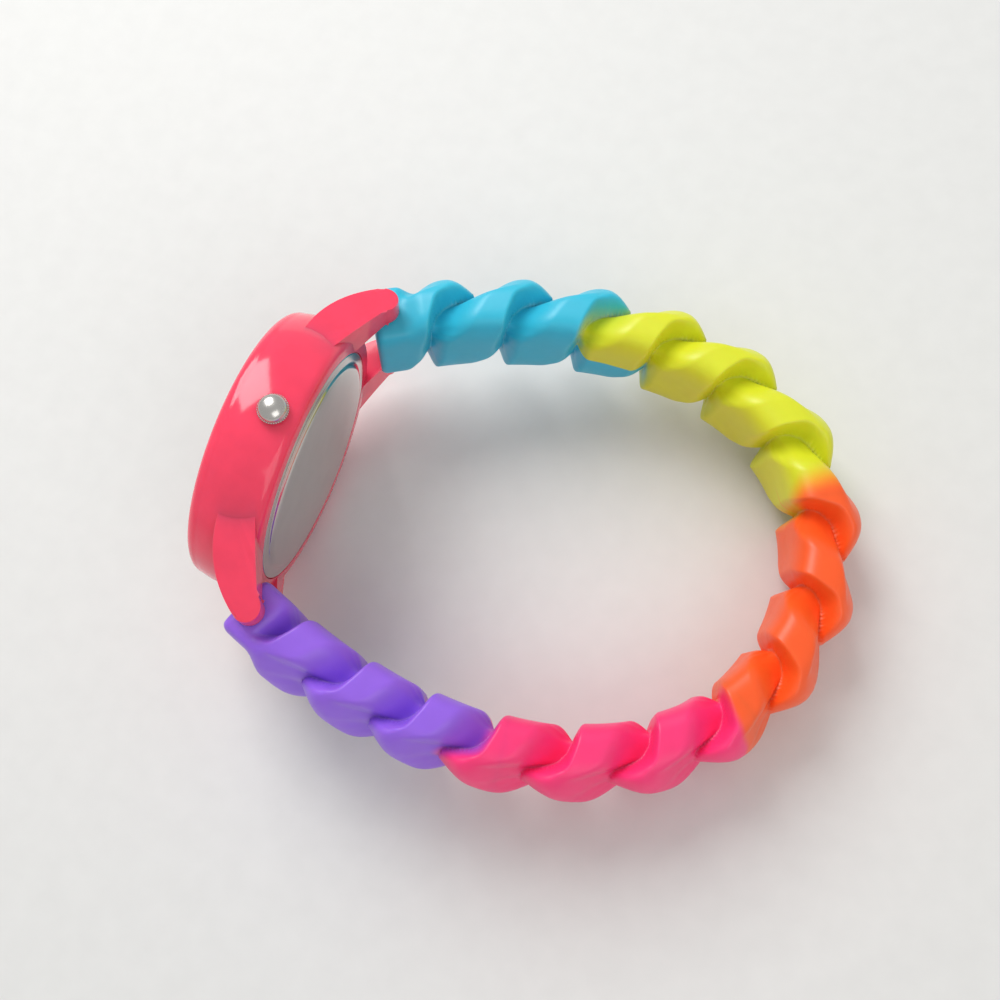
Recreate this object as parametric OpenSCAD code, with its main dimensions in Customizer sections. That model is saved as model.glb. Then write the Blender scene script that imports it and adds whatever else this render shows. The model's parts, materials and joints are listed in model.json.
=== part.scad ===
// A child's slip-on wrist watch, lying on its side as it is laid down.
// The watch is drawn dial up: x points to 3 o'clock, y to 12 o'clock and z out of the dial.
// lay() then turns it on its side, so that the case rim and the far end of the strap rest on z = 0.

/* [Case] */
// Outer diameter of the case barrel
case_d = 34; // [28:0.5:38]
// Height of the case from its back plane to the front rim
case_h = 8.6; // [7.2:0.1:10]
// Height of the barrel's widest line, as a share of the case height
waist_share = 0.523; // [0.4:0.001:0.65]
// How far the barrel draws in from its waist to either end
barrel_draw = 0.4; // [0.1:0.1:0.8]
// Rounding of the front rim
front_round = 1.3; // [0.8:0.1:1.8]
// Chamfer of the back rim
back_chamfer = 0.8; // [0.4:0.1:1]
// Thickness of the case wall round the movement
case_wall = 3.6; // [3.2:0.1:3.8]
// Width of the ledge that the dial lies against
dial_ledge = 0.6; // [0.4:0.1:1.4]

/* [Lugs] */
// Clear width between the two lugs of a pair
lug_gap = 12; // [11:0.5:13]
// Thickness of each lug at its tip
lug_t = 2.4; // [2.2:0.1:3]
// How far the lug's outer side spreads from its tip to the barrel
lug_spread = 4; // [2:0.1:4.4]
// Height of the lug's root above the back plane
lug_root_z = 1.5; // [1:0.1:2]
// Depth of the lug at its root
lug_root_depth = 3.2; // [2.8:0.1:4]
// Radius of the lug's rounded tip
lug_tip_r = 1.7; // [1.4:0.1:2]
// Distance of each spring bar outside the case barrel
bar_reach = 2.4; // [2.2:0.1:4]
// Distance of the spring bars behind the back plane
bar_drop = 1.2; // [0.8:0.1:2]

/* [Crystal] */
// Width of the front rim round the crystal
crystal_rim = 2.7; // [2.5:0.1:2.9]
// Thickness of the crystal
crystal_t = 1.2; // [0.8:0.1:1.4]
// How far the crystal lies below the front rim
crystal_sink = 0.25; // [0.1:0.05:0.4]

/* [Case back] */
// Width of the case rim round the snap-on steel back
back_rim = 2.6; // [2.2:0.1:2.8]
// Thickness of its sheet
back_t = 0.5; // [0.4:0.05:0.6]
// How far its middle is pressed outwards
back_dish = 0.4; // [0.2:0.05:0.5]
// Width of the flat rim round the pressed middle
back_flat = 1.7; // [1.5:0.1:2.5]
// Thickness of the rubber gasket
gasket_t = 0.3; // [0.2:0.05:0.4]

/* [Crown] */
// Diameter of the crown
crown_d = 3.4; // [3:0.1:3.6]
// Length of the crown's knurled rim
crown_rim = 0.7; // [0.5:0.1:1]
// Height of the crown's dome
crown_dome = 1; // [0.7:0.1:1.3]
// Number of knurls round the crown
crown_knurls = 24; // [16:1:30]
// Gap between the crown and the case
crown_gap = 0.25; // [0.15:0.05:0.4]
// Height of the crown's axis above the back plane, at the height that the movement is drawn for
crown_z = 2.9; // [2.8:0.05:3]
// Diameter of the winding stem
stem_d = 0.9; // [0.8:0.02:0.94]
// How far the crown pulls out
crown_pull = 0.9; // [0.5:0.1:1]

/* [Dial and hands] */
// Thickness of the dial
dial_t = 0.4; // [0.3:0.05:0.5]
// Length of the hour hand, as a share of the dial opening's radius
hour_share = 0.5; // [0.4:0.01:0.6]
// Length of the minute hand, as a share of the dial opening's radius
minute_share = 0.76; // [0.65:0.01:0.88]
// Length of the second hand, as a share of the dial opening's radius
second_share = 0.8; // [0.65:0.01:0.9]
// Width of the hour and minute hands
hand_w = 1.2; // [0.8:0.1:1.6]
// Thickness of each hand
hand_t = 0.15; // [0.1:0.05:0.2]
// Rest angle of the hour hand, clockwise from 12
hour_angle = 304; // [0:1:359]
// Rest angle of the minute hand
minute_angle = 52; // [0:1:359]
// Rest angle of the second hand
second_angle = 190; // [0:1:359]

/* [Movement] */
// Diameter of the main plate
plate_d = 19.2; // [19:0.1:19.6]
// Thickness of the main plate
plate_t = 1.3; // [1.2:0.05:1.4]
// Height of the space for the wheels
train_h = 2.1; // [2.1:0.05:2.2]
// Thickness of the train bridge
bridge_t = 0.5; // [0.4:0.05:0.5]
// Diameter of the button cell
cell_d = 6.8; // [6.4:0.1:6.8]
// Thickness of the button cell
cell_t = 2.15; // [1.6:0.05:2.15]

/* [Strap] */
// Width of the strap over its links
strap_w = 13.2; // [12:0.1:13.6]
// Thickness of the strap over its links
strap_t = 8.4; // [7.8:0.1:8.6]
// Number of links in the strap
link_count = 17; // [15:1:19]
// Half thickness of the strap on the flat inner side
inner_flat = 3.9; // [3.6:0.1:4]
// Depth of the groove between two links on the inner side
groove_inner = 1.9; // [1:0.1:2.2]
// Depth of the groove on the upper and lower edges
groove_edge = 2.9; // [2.2:0.1:3]
// Depth of the groove on the outer side
groove_outer = 2.1; // [1.2:0.1:2.2]
// How far the links of the far half lie on from an even spacing
link_shift = 2.5; // [0:0.1:3]
// How far one end of a link stands over the other end
link_tilt = 0.6; // [0:0.1:0.8]
// Depth of the loop, from the back plane to the middle of the strap
loop_reach = 60.6; // [56:0.1:66]
// Half width of the loop at the middle of the strap
loop_half = 26; // [24:0.1:28]
// How far the loop leans to the 12 o'clock side
loop_lean = 5.6; // [0:0.1:7]
// Angle round the loop from its far end to each spring bar
loop_turn = 122.5; // [118:0.5:128]
// Width of the plain block at each end of the strap
block_w = 11.6; // [10.6:0.1:11.8]
// Half thickness of the end block on its outer side
block_out = 3.4; // [3:0.1:3.6]
// How far the end block runs past the spring bar
block_past = 1.5; // [1.3:0.1:1.8]
// Length of the plain end block beyond the spring bar
block_len = 2.2; // [1.8:0.1:2.8]

/* [Spring bars] */
// Diameter of the spring bar's tube
bar_d = 1.5; // [1.3:0.05:1.6]
// Diameter of its sprung pins
pin_d = 0.8; // [0.7:0.02:0.84]
// Length of pin that enters each lug
pin_reach = 1; // [0.8:0.1:1.1]

/* [Hidden] */
$fn = 48;

// Clearances: a seat that is pressed or glued, a running fit, and air between pieces that never touch
seat = 0.02;
run = 0.04;
slip = 0.05;
air = 0.1;
// How far a cut runs past the face that it opens
past = 0.5;

// Heights along the case axis, from the back plane. The movement is drawn for the inside height
// drawn_h, and its heights grow with the inside height of the case.
inside_h = case_h - crystal_sink - crystal_t;
drawn_h = 7.15;
grow = inside_h / drawn_h;
back_in_z = back_t - back_dish;
bridge_z = 0.9 * grow;
bridge_top_z = bridge_z + bridge_t * grow;
plate_z = bridge_top_z + train_h * grow;
dial_z = plate_z + plate_t * grow;
dial_top_z = dial_z + dial_t * grow;
stem_z = crown_z * grow;
crystal_z = inside_h;
tube_wall = 0.35;
tube_r = stem_d / 2 + slip + tube_wall;
gasket_top_z = stem_z - tube_r - slip;
skirt_top_z = gasket_top_z - gasket_t * grow;

// Radii of the case
case_r = case_d / 2;
waist_z = case_h * waist_share;
chamber_r = case_r - case_wall;
opening_r = chamber_r - dial_ledge;
crystal_r = case_r - crystal_rim;
back_r = case_r - back_rim;
bar_y = case_r + bar_reach;
flange_w = 0.3;
skirt_r = back_r - flange_w;
skirt_w = 0.5;
bezel_slope = 0.12;

// The strap's middle line, from the 12 o'clock bar round the loop to the 6 o'clock bar
loop_deep = (loop_reach - bar_drop) / (1 - cos(loop_turn));
loop_centre = loop_reach - loop_deep;
loop_pinch = (bar_y - loop_half * sin(loop_turn)) / sin(2 * loop_turn);
function loop_y(t) = loop_half * sin(t) + loop_pinch * sin(2 * t) + loop_lean * cos(90 * t / loop_turn);
function loop_z(t) = -loop_centre - loop_deep * cos(t);
loop_steps = 160;
loop_points = [
    for (i = [0 : loop_steps])
        let (t = loop_turn * (1 - 2 * i / loop_steps)) [loop_y(t), loop_z(t), t]
];
loop_lengths = [
    for (i = 0, run_len = 0; i <= loop_steps;
         run_len = run_len + (i < loop_steps ? norm(flat2(loop_points[i + 1]) - flat2(loop_points[i])) : 0),
         i = i + 1) run_len
];
function flat2(p) = [p[0], p[1]];
loop_len = loop_lengths[loop_steps];
loop_table = [for (i = [0 : loop_steps]) [loop_lengths[i], loop_points[i][2]]];
function on_loop(s) =
    let (t = lookup(min(max(s, 0), loop_len), loop_table)) [loop_y(t), loop_z(t)];
tangent_step = 0.4;
function loop_tangent(s) =
    let (
        on = min(max(s, 0), loop_len),
        a = on_loop(on - tangent_step),
        b = on_loop(on + tangent_step)
    ) (b - a) / norm(b - a);
function loop_point(s) =
    on_loop(s) + loop_tangent(s) * (s < 0 ? s : s > loop_len ? s - loop_len : 0);
// A point of the strap: s along the loop, u outwards, w towards the crown
function strap_point(s, u, w) =
    let (p = loop_point(s), t = loop_tangent(s)) [w, p[0] - u * t[1], p[1] + u * t[0]];

// A round bar or hole along the 3 o'clock direction, from x0 to x1
module along_x(x0, x1, r, y = 0, z = 0) {
    translate([x0, y, z])
        rotate([0, 90, 0])
            cylinder(r = r, h = x1 - x0);
}

// A round bar or hole along the case axis, from z0 to z1
module along_z(z0, z1, r, at = [0, 0]) {
    translate([at[0], at[1], z0])
        cylinder(r = r, h = z1 - z0);
}

// A flat piece between two heights
module flat_piece(z0, z1) {
    translate([0, 0, z0])
        linear_extrude(z1 - z0)
            children();
}

function polar(r, a) = [r * cos(a), r * sin(a)];
function arc(centre, r, a0, a1, n) =
    [for (i = [0 : n]) centre + polar(r, a0 + (a1 - a0) * i / n)];
function bend(p0, p1, p2, n) =
    [for (i = [0 : n]) let (t = i / n) p0 * (1 - t) * (1 - t) + p1 * 2 * t * (1 - t) + p2 * t * t];

// Case: a barrel with four horns for the strap
arc_steps = 8;
rim_r = case_r - barrel_draw;
barrel_profile = concat(
    [[back_r + slip, 0], [rim_r - back_chamfer, 0], [rim_r, back_chamfer]],
    bend([rim_r, back_chamfer], [case_r + barrel_draw, waist_z], [rim_r, case_h - front_round], arc_steps),
    arc([rim_r - front_round, case_h - front_round], front_round, 0, 90, arc_steps),
    [
        [crystal_r + seat, case_h - bezel_slope], [crystal_r + seat, crystal_z],
        [opening_r, crystal_z], [opening_r, dial_top_z],
        [chamber_r, dial_top_z], [chamber_r, gasket_top_z],
        [skirt_r + slip, gasket_top_z], [skirt_r + slip, back_t],
        [back_r + slip, back_t]
    ]
);

// Outline of a lug, seen along the spring bar: y away from the case centre, z up
wall_bite = 0.3;
lug_root_y = case_r / 2;
lug_top_z = lug_root_z + lug_root_depth;
belly_in = 3;
belly_rise = 1.3;
hollow_in = 8;
hollow_drop = 0.6;
lug_belly = [bar_y - belly_in, lug_top_z + belly_rise];
lug_hollow = [bar_y - hollow_in, lug_root_z - hollow_drop];
tip_from = 25;
tip_to = -150;
bar_at = [bar_y, -bar_drop];
lug_outline = concat(
    bend([lug_root_y, lug_top_z], lug_belly, bar_at + polar(lug_tip_r, tip_from), arc_steps),
    arc(bar_at, lug_tip_r, tip_from, tip_to, arc_steps),
    bend(bar_at + polar(lug_tip_r, tip_to), lug_hollow, [lug_root_y, lug_root_z], arc_steps)
);
pin_hole_r = pin_d / 2 + slip;
pin_hole_depth = pin_reach + 2 * air;

// Outline of the same lug, seen along the case axis
lug_tip_x = lug_gap / 2 + lug_t;
lug_root_x = lug_tip_x + lug_spread;
lug_end_y = bar_y + lug_tip_r;
lug_flank = [
    [lug_gap / 2, 0], [lug_root_x, 0], [lug_root_x, sqrt(pow(case_r, 2) - pow(lug_root_x, 2))],
    [lug_tip_x, lug_end_y], [lug_gap / 2, lug_end_y]
];

module lug(side, end) {
    mirror([side > 0 ? 0 : 1, 0, 0])
        mirror([0, end > 0 ? 0 : 1, 0])
            intersection() {
                rotate([90, 0, 90])
                    linear_extrude(lug_root_x)
                        polygon(lug_outline);
                flat_piece(-bar_drop - 2 * lug_tip_r, case_h)
                    polygon(lug_flank);
            }
}

module case() {
    color("salmon")
        difference() {
            union() {
                rotate_extrude()
                    polygon(barrel_profile);
                difference() {
                    for (side = [-1, 1], end = [-1, 1])
                        lug(side, end);
                    along_z(-case_h, case_h, back_r + wall_bite);
                }
            }
            for (end = [-1, 1])
                along_x(-lug_gap / 2 - pin_hole_depth, lug_gap / 2 + pin_hole_depth, pin_hole_r, end * bar_y, -bar_drop);
            along_x(chamber_r - past, case_r + past, tube_r + seat, 0, stem_z);
        }
}

module crystal() {
    color("lightcyan", 0.4)
        along_z(crystal_z, crystal_z + crystal_t, crystal_r);
}

// Case back: a pressed steel cup with a flange, a dished middle and a snap wall
dish_slope = 0.4;
dish_r = back_r - back_flat;
back_profile = [
    [0, -back_dish], [dish_r, -back_dish], [dish_r + dish_slope, 0], [back_r, 0], [back_r, back_t],
    [skirt_r, back_t], [skirt_r, skirt_top_z], [skirt_r - skirt_w, skirt_top_z], [skirt_r - skirt_w, back_t],
    [dish_r, back_t], [dish_r - dish_slope, back_in_z], [0, back_in_z]
];

module case_back() {
    color("silver")
        rotate_extrude()
            polygon(back_profile);
}

module ring(r0, r1, z0, z1) {
    difference() {
        along_z(z0, z1, r1);
        along_z(z0 - past, z1 + past, r0);
    }
}

module back_gasket() {
    color("dimgray")
        ring(chamber_r, skirt_r, skirt_top_z, gasket_top_z);
}

// Movement ring: the plastic spacer between the movement and the case
plate_r = plate_d / 2;
stem_slot_w = 2 * tube_r + 2 * air;

module movement_ring() {
    color("whitesmoke")
        difference() {
            ring(plate_r + slip, chamber_r - slip, back_t + slip, dial_z);
            translate([plate_r - past, -stem_slot_w / 2, 0])
                cube([chamber_r, stem_slot_w, stem_z + stem_slot_w / 2]);
        }
}

// Radii at the centre: the seconds arbor, the minute tube and the hour pipe run one in the other
arbor_r = 0.15;
tube_in_r = arbor_r + run;
tube_out_r = 0.45;
pipe_in_r = tube_out_r + run;
pipe_out_r = 0.75;

module dial() {
    color("white")
        difference() {
            along_z(dial_z, dial_top_z, chamber_r - slip);
            along_z(dial_z - past, dial_top_z + past, pipe_out_r + air);
        }
}

// Hands: heights of their lower faces above the dial
hand_step = 0.45 * grow;
hand_h = hand_t * grow;
hour_z = dial_top_z + hand_step / 2;
minute_z = hour_z + hand_step;
second_z = minute_z + hand_step;
hub_r = 1.1;
second_hub_r = 0.7;
second_w = 0.35;
tail_share = 0.25;

// A hand that points along +y and is then turned clockwise
module hand(z, len, width, hub, hole, angle) {
    rotate([0, 0, -angle])
        flat_piece(z, z + hand_h)
            difference() {
                union() {
                    circle(hub);
                    polygon([
                        [-width / 2, -len * tail_share], [width / 2, -len * tail_share],
                        [width / 2, len - width], [0, len], [-width / 2, len - width]
                    ]);
                }
                circle(hole);
            }
}

module hour_hand() {
    color("black")
        hand(hour_z, opening_r * hour_share, hand_w, hub_r, pipe_out_r + seat, hour_angle);
}

module minute_hand() {
    color("black")
        hand(minute_z, opening_r * minute_share, hand_w, hub_r, tube_out_r + seat, minute_angle);
}

module second_hand() {
    color("red")
        hand(second_z, opening_r * second_share, second_w, second_hub_r, arbor_r + seat, second_angle);
}

// Crown: a knurled cap with a domed end, on the stem
crown_r = crown_d / 2;
crown_x = case_r + crown_gap;
crown_rim_x = crown_x + crown_rim;
knurl_r = PI * crown_r / crown_knurls / 3;
dome_r = crown_r - 2 * knurl_r;
dome_sphere_r = (dome_r * dome_r + crown_dome * crown_dome) / (2 * crown_dome);
dome_half = asin(dome_r / dome_sphere_r);
recess_r = crown_r - 0.45;
recess_depth = crown_rim - 0.3;
stem_hold = crown_rim + crown_dome / 2;
crown_profile = concat(
    [[stem_d / 2 + seat, recess_depth], [recess_r, recess_depth], [recess_r, 0], [crown_r, 0], [crown_r, crown_rim]],
    [for (i = [0 : arc_steps - 1])
        let (a = dome_half * (1 - i / arc_steps))
            [dome_sphere_r * sin(a), crown_rim + crown_dome - dome_sphere_r * (1 - cos(a))]],
    [[0, crown_rim + crown_dome], [0, stem_hold], [stem_d / 2 + seat, stem_hold]]
);

// Turns a piece drawn along z to lie along the crown's axis
module on_crown_axis(x) {
    translate([x, 0, stem_z])
        rotate([0, 90, 0])
            children();
}

module crown() {
    color("gainsboro")
        on_crown_axis(crown_x)
            difference() {
                rotate_extrude()
                    polygon(crown_profile);
                for (i = [0 : crown_knurls - 1])
                    rotate([0, 0, 360 * i / crown_knurls])
                        translate([crown_r, 0, -past])
                            cylinder(r = knurl_r, h = crown_rim + past, $fn = 16);
            }
}

module crown_gasket() {
    color("black")
        on_crown_axis(crown_x + slip)
            ring(stem_d / 2 + seat, recess_r - seat, 0, recess_depth - slip);
}

// Crown tube: pressed into the case wall to guide the stem
module crown_tube() {
    color("lightgray")
        difference() {
            along_x(chamber_r, case_r - slip, tube_r, 0, stem_z);
            along_x(chamber_r - past, case_r + past, stem_d / 2 + slip, 0, stem_z);
        }
}

// Places along the stem, outwards from the movement's centre
stem_x = 4.4;
pinion_x = 5;
pinion_len = 1.1;
collar_x = pinion_x + pinion_len;
collar_len = 1.1;
square_end_x = collar_x + collar_len + air;
clip_t = 0.2;
clip_x = square_end_x + crown_pull + 2 * air;
groove_x = clip_x - crown_pull - slip;
groove_end_x = clip_x + clip_t + slip;
stem_square = 0.6;
groove_r = 0.25;
collar_r = 0.52;

module stem() {
    color("lightsteelblue")
        difference() {
            union() {
                translate([stem_x, -stem_square / 2, stem_z - stem_square / 2])
                    cube([square_end_x - stem_x, stem_square, stem_square]);
                along_x(square_end_x, crown_x + stem_hold, stem_d / 2, 0, stem_z);
            }
            difference() {
                along_x(groove_x, groove_end_x, stem_d, 0, stem_z);
                along_x(groove_x - past, groove_end_x + past, groove_r, 0, stem_z);
            }
        }
}

// Gears: plain trapezoid teeth on a pitch circle, with the first tooth at angle turn
tooth_out = 0.8;
tooth_in = 1.1;
tooth_root_share = 0.3;
tooth_tip_share = 0.12;
function gear_points(teeth, size, turn) = [
    for (i = [0 : teeth - 1], corner = [-2, -1, 1, 2])
        let (
            share = abs(corner) == 2 ? tooth_root_share : tooth_tip_share,
            r = teeth * size / 2 + (abs(corner) == 2 ? -tooth_in : tooth_out) * size
        ) polar(r, turn + (i + sign(corner) * share) * 360 / teeth)
];
// Turn of a gear of teeth_b that meshes with one of teeth_a, which lies in direction way from it
function mesh_turn(teeth_a, turn_a, way, teeth_b) =
    way + 180 - 360 / teeth_b * (0.5 - (way - turn_a) * teeth_a / 360);

module gear(teeth, size, turn, z0, z1) {
    flat_piece(z0, z1)
        polygon(gear_points(teeth, size, turn));
}

pinion_teeth = 14;
pinion_size = 0.12;

module setting_pinion() {
    color("goldenrod")
        difference() {
            union() {
                on_crown_axis(pinion_x)
                    gear(pinion_teeth, pinion_size, 0, 0, pinion_len);
                along_x(collar_x - seat, collar_x + collar_len, collar_r, 0, stem_z);
            }
            translate([pinion_x - past, -stem_square / 2 - run, stem_z - stem_square / 2 - run])
                cube([pinion_len + collar_len + 2 * past, stem_square + 2 * run, stem_square + 2 * run]);
        }
}

clip_w = 2;

module stem_clip() {
    color("lightgray")
        difference() {
            translate([clip_x, -clip_w / 2, bridge_top_z])
                cube([clip_t, clip_w, stem_z + groove_r - bridge_top_z]);
            translate([clip_x - past, -groove_r - run, stem_z - groove_r - run])
                cube([clip_t + 2 * past, 2 * (groove_r + run), stem_z]);
        }
}

// Wheel train: teeth and tooth sizes, from the rotor to the hands
rotor_teeth = 6;
inter_wheel_teeth = 36;
inter_pinion_teeth = 8;
second_wheel_teeth = 40;
second_pinion_teeth = 8;
third_wheel_teeth = 60;
third_pinion_teeth = 8;
centre_wheel_teeth = 64;
cannon_teeth = 10;
minute_wheel_teeth = 30;
minute_pinion_teeth = 8;
hour_wheel_teeth = 32;
rotor_size = 0.09;
inter_size = 0.11;
third_size = 0.1;
motion_size = 0.11;
third_far = third_size * (third_wheel_teeth + second_pinion_teeth) / 2;
centre_size = 2 * third_far / (centre_wheel_teeth + third_pinion_teeth);
inter_far = inter_size * (inter_pinion_teeth + second_wheel_teeth) / 2;
rotor_far = rotor_size * (rotor_teeth + inter_wheel_teeth) / 2;
motion_far = motion_size * (cannon_teeth + minute_wheel_teeth) / 2;
third_way = 300;
inter_way = 190;
rotor_way = 220;
motion_way = 215;
third_at = polar(third_far, third_way);
inter_at = polar(inter_far, inter_way);
rotor_at = inter_at + polar(rotor_far, rotor_way);
motion_at = polar(motion_far, motion_way);
third_turn = mesh_turn(second_pinion_teeth, 0, third_way, third_wheel_teeth);
centre_turn = mesh_turn(third_pinion_teeth, 0, third_way + 180, centre_wheel_teeth);
inter_turn = mesh_turn(second_wheel_teeth, 0, inter_way, inter_pinion_teeth);
rotor_turn = mesh_turn(inter_wheel_teeth, 0, rotor_way, rotor_teeth);
motion_turn = mesh_turn(cannon_teeth, 0, motion_way, minute_wheel_teeth);
hour_turn = mesh_turn(minute_pinion_teeth, 0, motion_way + 180, hour_wheel_teeth);

// Heights of the train's layers, down from the main plate and up from its dial-side pocket
wheel_t = 0.2 * grow;
pinion_h = 0.3 * grow;
layer = 0.5 * grow;
centre_layer = plate_z - 0.35 * grow;
third_layer = centre_layer - layer;
second_layer = third_layer - layer;
pocket_z = plate_z + 0.6 * grow;
motion_layer = pocket_z + slip;
hour_layer = motion_layer + wheel_t + 2 * slip;
pinion_over = (pinion_h - wheel_t) / 2;
pivot_r = 0.2;
pivot_low = (bridge_z + bridge_top_z) / 2;
pivot_high = plate_z + 0.4 * grow;
stud_r = 0.25;
stud_foot_z = second_layer - pinion_over;

// A wheel's gear or pinion on the train's layer z
module wheel(teeth, size, turn, z) {
    gear(teeth, size, turn, z, z + wheel_t);
}

module pinion(teeth, size, turn, z) {
    gear(teeth, size, turn, z - pinion_over, z - pinion_over + pinion_h);
}

module at(place) {
    translate([place[0], place[1], 0])
        children();
}

magnet_r = 0.6;
magnet_z0 = second_layer - 0.15 * grow;
magnet_z1 = second_layer + 0.3 * grow;

module rotor() {
    color("slategray")
        at(rotor_at) {
            along_z(pivot_low, pivot_high, arbor_r);
            along_z(magnet_z0, magnet_z1, magnet_r);
            pinion(rotor_teeth, rotor_size, rotor_turn, third_layer);
        }
}

// Intermediate wheel: turns on a stud of the train bridge, below the centre wheel
module intermediate_wheel() {
    color("ivory")
        at(inter_at)
            difference() {
                union() {
                    wheel(inter_wheel_teeth, rotor_size, 0, third_layer);
                    gear(inter_pinion_teeth, inter_size, inter_turn, stud_foot_z, third_layer);
                }
                along_z(bridge_top_z, centre_layer, pivot_r + run);
            }
}

module second_wheel() {
    color("ivory") {
        along_z(pivot_low, second_z + hand_h, arbor_r);
        wheel(second_wheel_teeth, inter_size, 0, second_layer);
        pinion(second_pinion_teeth, third_size, 0, third_layer);
    }
}

module third_wheel() {
    color("ivory")
        at(third_at) {
            along_z(pivot_low, pivot_high, pivot_r);
            wheel(third_wheel_teeth, third_size, third_turn, third_layer);
            pinion(third_pinion_teeth, centre_size, 0, centre_layer);
        }
}

// Centre wheel: turns once an hour, its tube carries the cannon pinion and the minute hand
module centre_wheel() {
    color("gold")
        difference() {
            union() {
                along_z(centre_layer - slip, minute_z + hand_h, tube_out_r);
                wheel(centre_wheel_teeth, centre_size, centre_turn, centre_layer);
                gear(cannon_teeth, motion_size, 0, motion_layer, motion_layer + wheel_t);
            }
            along_z(centre_layer - past, minute_z + past, tube_in_r);
        }
}

// Minute wheel: turns on a stud of the main plate, between the cannon pinion and the hour wheel
module minute_wheel() {
    color("ivory")
        at(motion_at)
            difference() {
                union() {
                    wheel(minute_wheel_teeth, motion_size, motion_turn, motion_layer);
                    gear(minute_pinion_teeth, motion_size, 0, motion_layer, hour_layer + wheel_t);
                }
                along_z(motion_layer - past, hour_layer + past, stud_r + run);
            }
}

module hour_wheel() {
    color("ivory")
        difference() {
            union() {
                wheel(hour_wheel_teeth, motion_size, hour_turn, hour_layer);
                along_z(hour_layer, hour_z + hand_h, pipe_out_r);
            }
            along_z(hour_layer - past, hour_z + past, pipe_in_r);
        }
}

// Movement layout: pillars and their screws, the cell, the coil and the circuit
pillar_far = 8.3;
pillar_r = 0.8;
pillar_ways = [25, 150, 205];
screw_r = 0.35;
screw_head_r = 0.65;
screw_head_h = 0.3 * grow;
screw_len = 1.7 * grow;
cell_r = cell_d / 2;
second_tip_r = second_wheel_teeth * inter_size / 2 + tooth_out * inter_size;
cell_far = second_tip_r + cell_r + 2 * air;
cell_way = 75;
cell_at = polar(cell_far, cell_way);
clip_sheet = 0.16 * grow;
pocket_r = hour_wheel_teeth * motion_size / 2 + 2 * air;
boss_w = 1.8;
boss_drop = 1.4 * grow;
pinion_room = pinion_teeth * pinion_size / 2 + 2 * air;

module pillar_places() {
    for (way = pillar_ways)
        at(polar(pillar_far, way))
            children();
}

// Main plate: carries the train, with pillars below and a pocket for the motion work on the dial side
module main_plate() {
    color("burlywood")
        difference() {
            union() {
                difference() {
                    along_z(plate_z, dial_z, plate_r);
                    along_z(pocket_z, dial_z + past, pocket_r);
                    along_z(pocket_z, dial_z + past, pocket_r, motion_at);
                }
                along_z(pocket_z - slip, dial_z - slip, stud_r, motion_at);
                pillar_places()
                    along_z(bridge_top_z, plate_z + slip, pillar_r);
                translate([collar_x + air, -boss_w / 2, plate_z - boss_drop])
                    cube([collar_len - air, boss_w, boss_drop + slip]);
            }
            along_z(plate_z - past, dial_z + past, tube_out_r + run);
            along_z(plate_z - past, pivot_high + slip, pivot_r + run, third_at);
            along_z(plate_z - past, pivot_high + slip, arbor_r + run, rotor_at);
            along_x(collar_x - past, collar_x + collar_len + past, collar_r + run, 0, stem_z);
            translate([pinion_x - air, -pinion_room, plate_z - past])
                cube([pinion_len + 2 * air, 2 * pinion_room, past + stem_z + pinion_room - plate_z]);
            pillar_places()
                along_z(bridge_z, bridge_z + screw_len + 2 * air, screw_r + seat);
        }
}

// Train bridge: the lower plate, with posts under the stator
bridge_r = plate_r - 0.3;
post_r = 0.45;
stator_z = second_layer - air;
stator_t = 0.35 * grow;
coil_y = -7;
coil_share = 0.36;
coil_r = coil_share * train_h * grow;
core_w = 0.8;
core_t = 0.6 * grow;
arm_w = 1.2;
arm_left_x = -4.8;
arm_right_x = 4.2;
arm_cross_y = -5.4;
stator_r = 1.2;

module train_bridge() {
    color("tan")
        difference() {
            union() {
                along_z(bridge_z, bridge_top_z, bridge_r);
                for (x = [arm_left_x, arm_right_x])
                    along_z(bridge_top_z - slip, stator_z, post_r, [x, coil_y]);
                along_z(bridge_top_z - slip, stud_foot_z - slip, post_r, inter_at);
                along_z(bridge_top_z - slip, third_layer + wheel_t + slip, pivot_r, inter_at);
            }
            along_z(bridge_z - past, bridge_top_z + past, cell_r + air, cell_at);
            along_z(pivot_low - slip, bridge_top_z + past, arbor_r + run);
            along_z(pivot_low - slip, bridge_top_z + past, pivot_r + run, third_at);
            along_z(pivot_low - slip, bridge_top_z + past, arbor_r + run, rotor_at);
            pillar_places()
                along_z(bridge_z - past, bridge_top_z + past, screw_r + seat);
        }
}

// Screws: one in each pillar, the first one through the cell clip as well
module movement_screws() {
    color("silver")
        for (i = [0 : len(pillar_ways) - 1])
            let (z = bridge_z - (i == 0 ? clip_sheet : 0))
                at(polar(pillar_far, pillar_ways[i])) {
                    along_z(z - screw_head_h, z, screw_head_r);
                    along_z(z - slip, z + screw_len, screw_r);
                }
}

module button_cell() {
    color("lightgray")
        along_z(bridge_z, bridge_z + cell_t * grow, cell_r, cell_at);
}

clip_width = 2.2;

module cell_clip() {
    clip_to = polar(pillar_far, pillar_ways[0]) - cell_at;
    color("silver")
        difference() {
            at(cell_at)
                rotate([0, 0, atan2(clip_to[1], clip_to[0])])
                    translate([0, -clip_width / 2, bridge_z - clip_sheet])
                        cube([norm(clip_to) + clip_width / 3, clip_width, clip_sheet]);
            along_z(0, bridge_z + past, screw_r + seat, polar(pillar_far, pillar_ways[0]));
        }
}

board_t = 0.2 * grow;
board_at = [4.7, -5];
board_size = [3, 3.6];
chip_size = [1.5, 1.6, 0.6 * grow];
chip_at = [4.8, -3.2];
can_share = 0.28;
can_r = can_share * train_h * grow;
can_at = [7.1, -4.8];
can_len = 3.2;

module circuit_board() {
    color("seagreen")
        translate([board_at[0], board_at[1], bridge_top_z])
            cube([board_size[0], board_size[1], board_t]);
}

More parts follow.
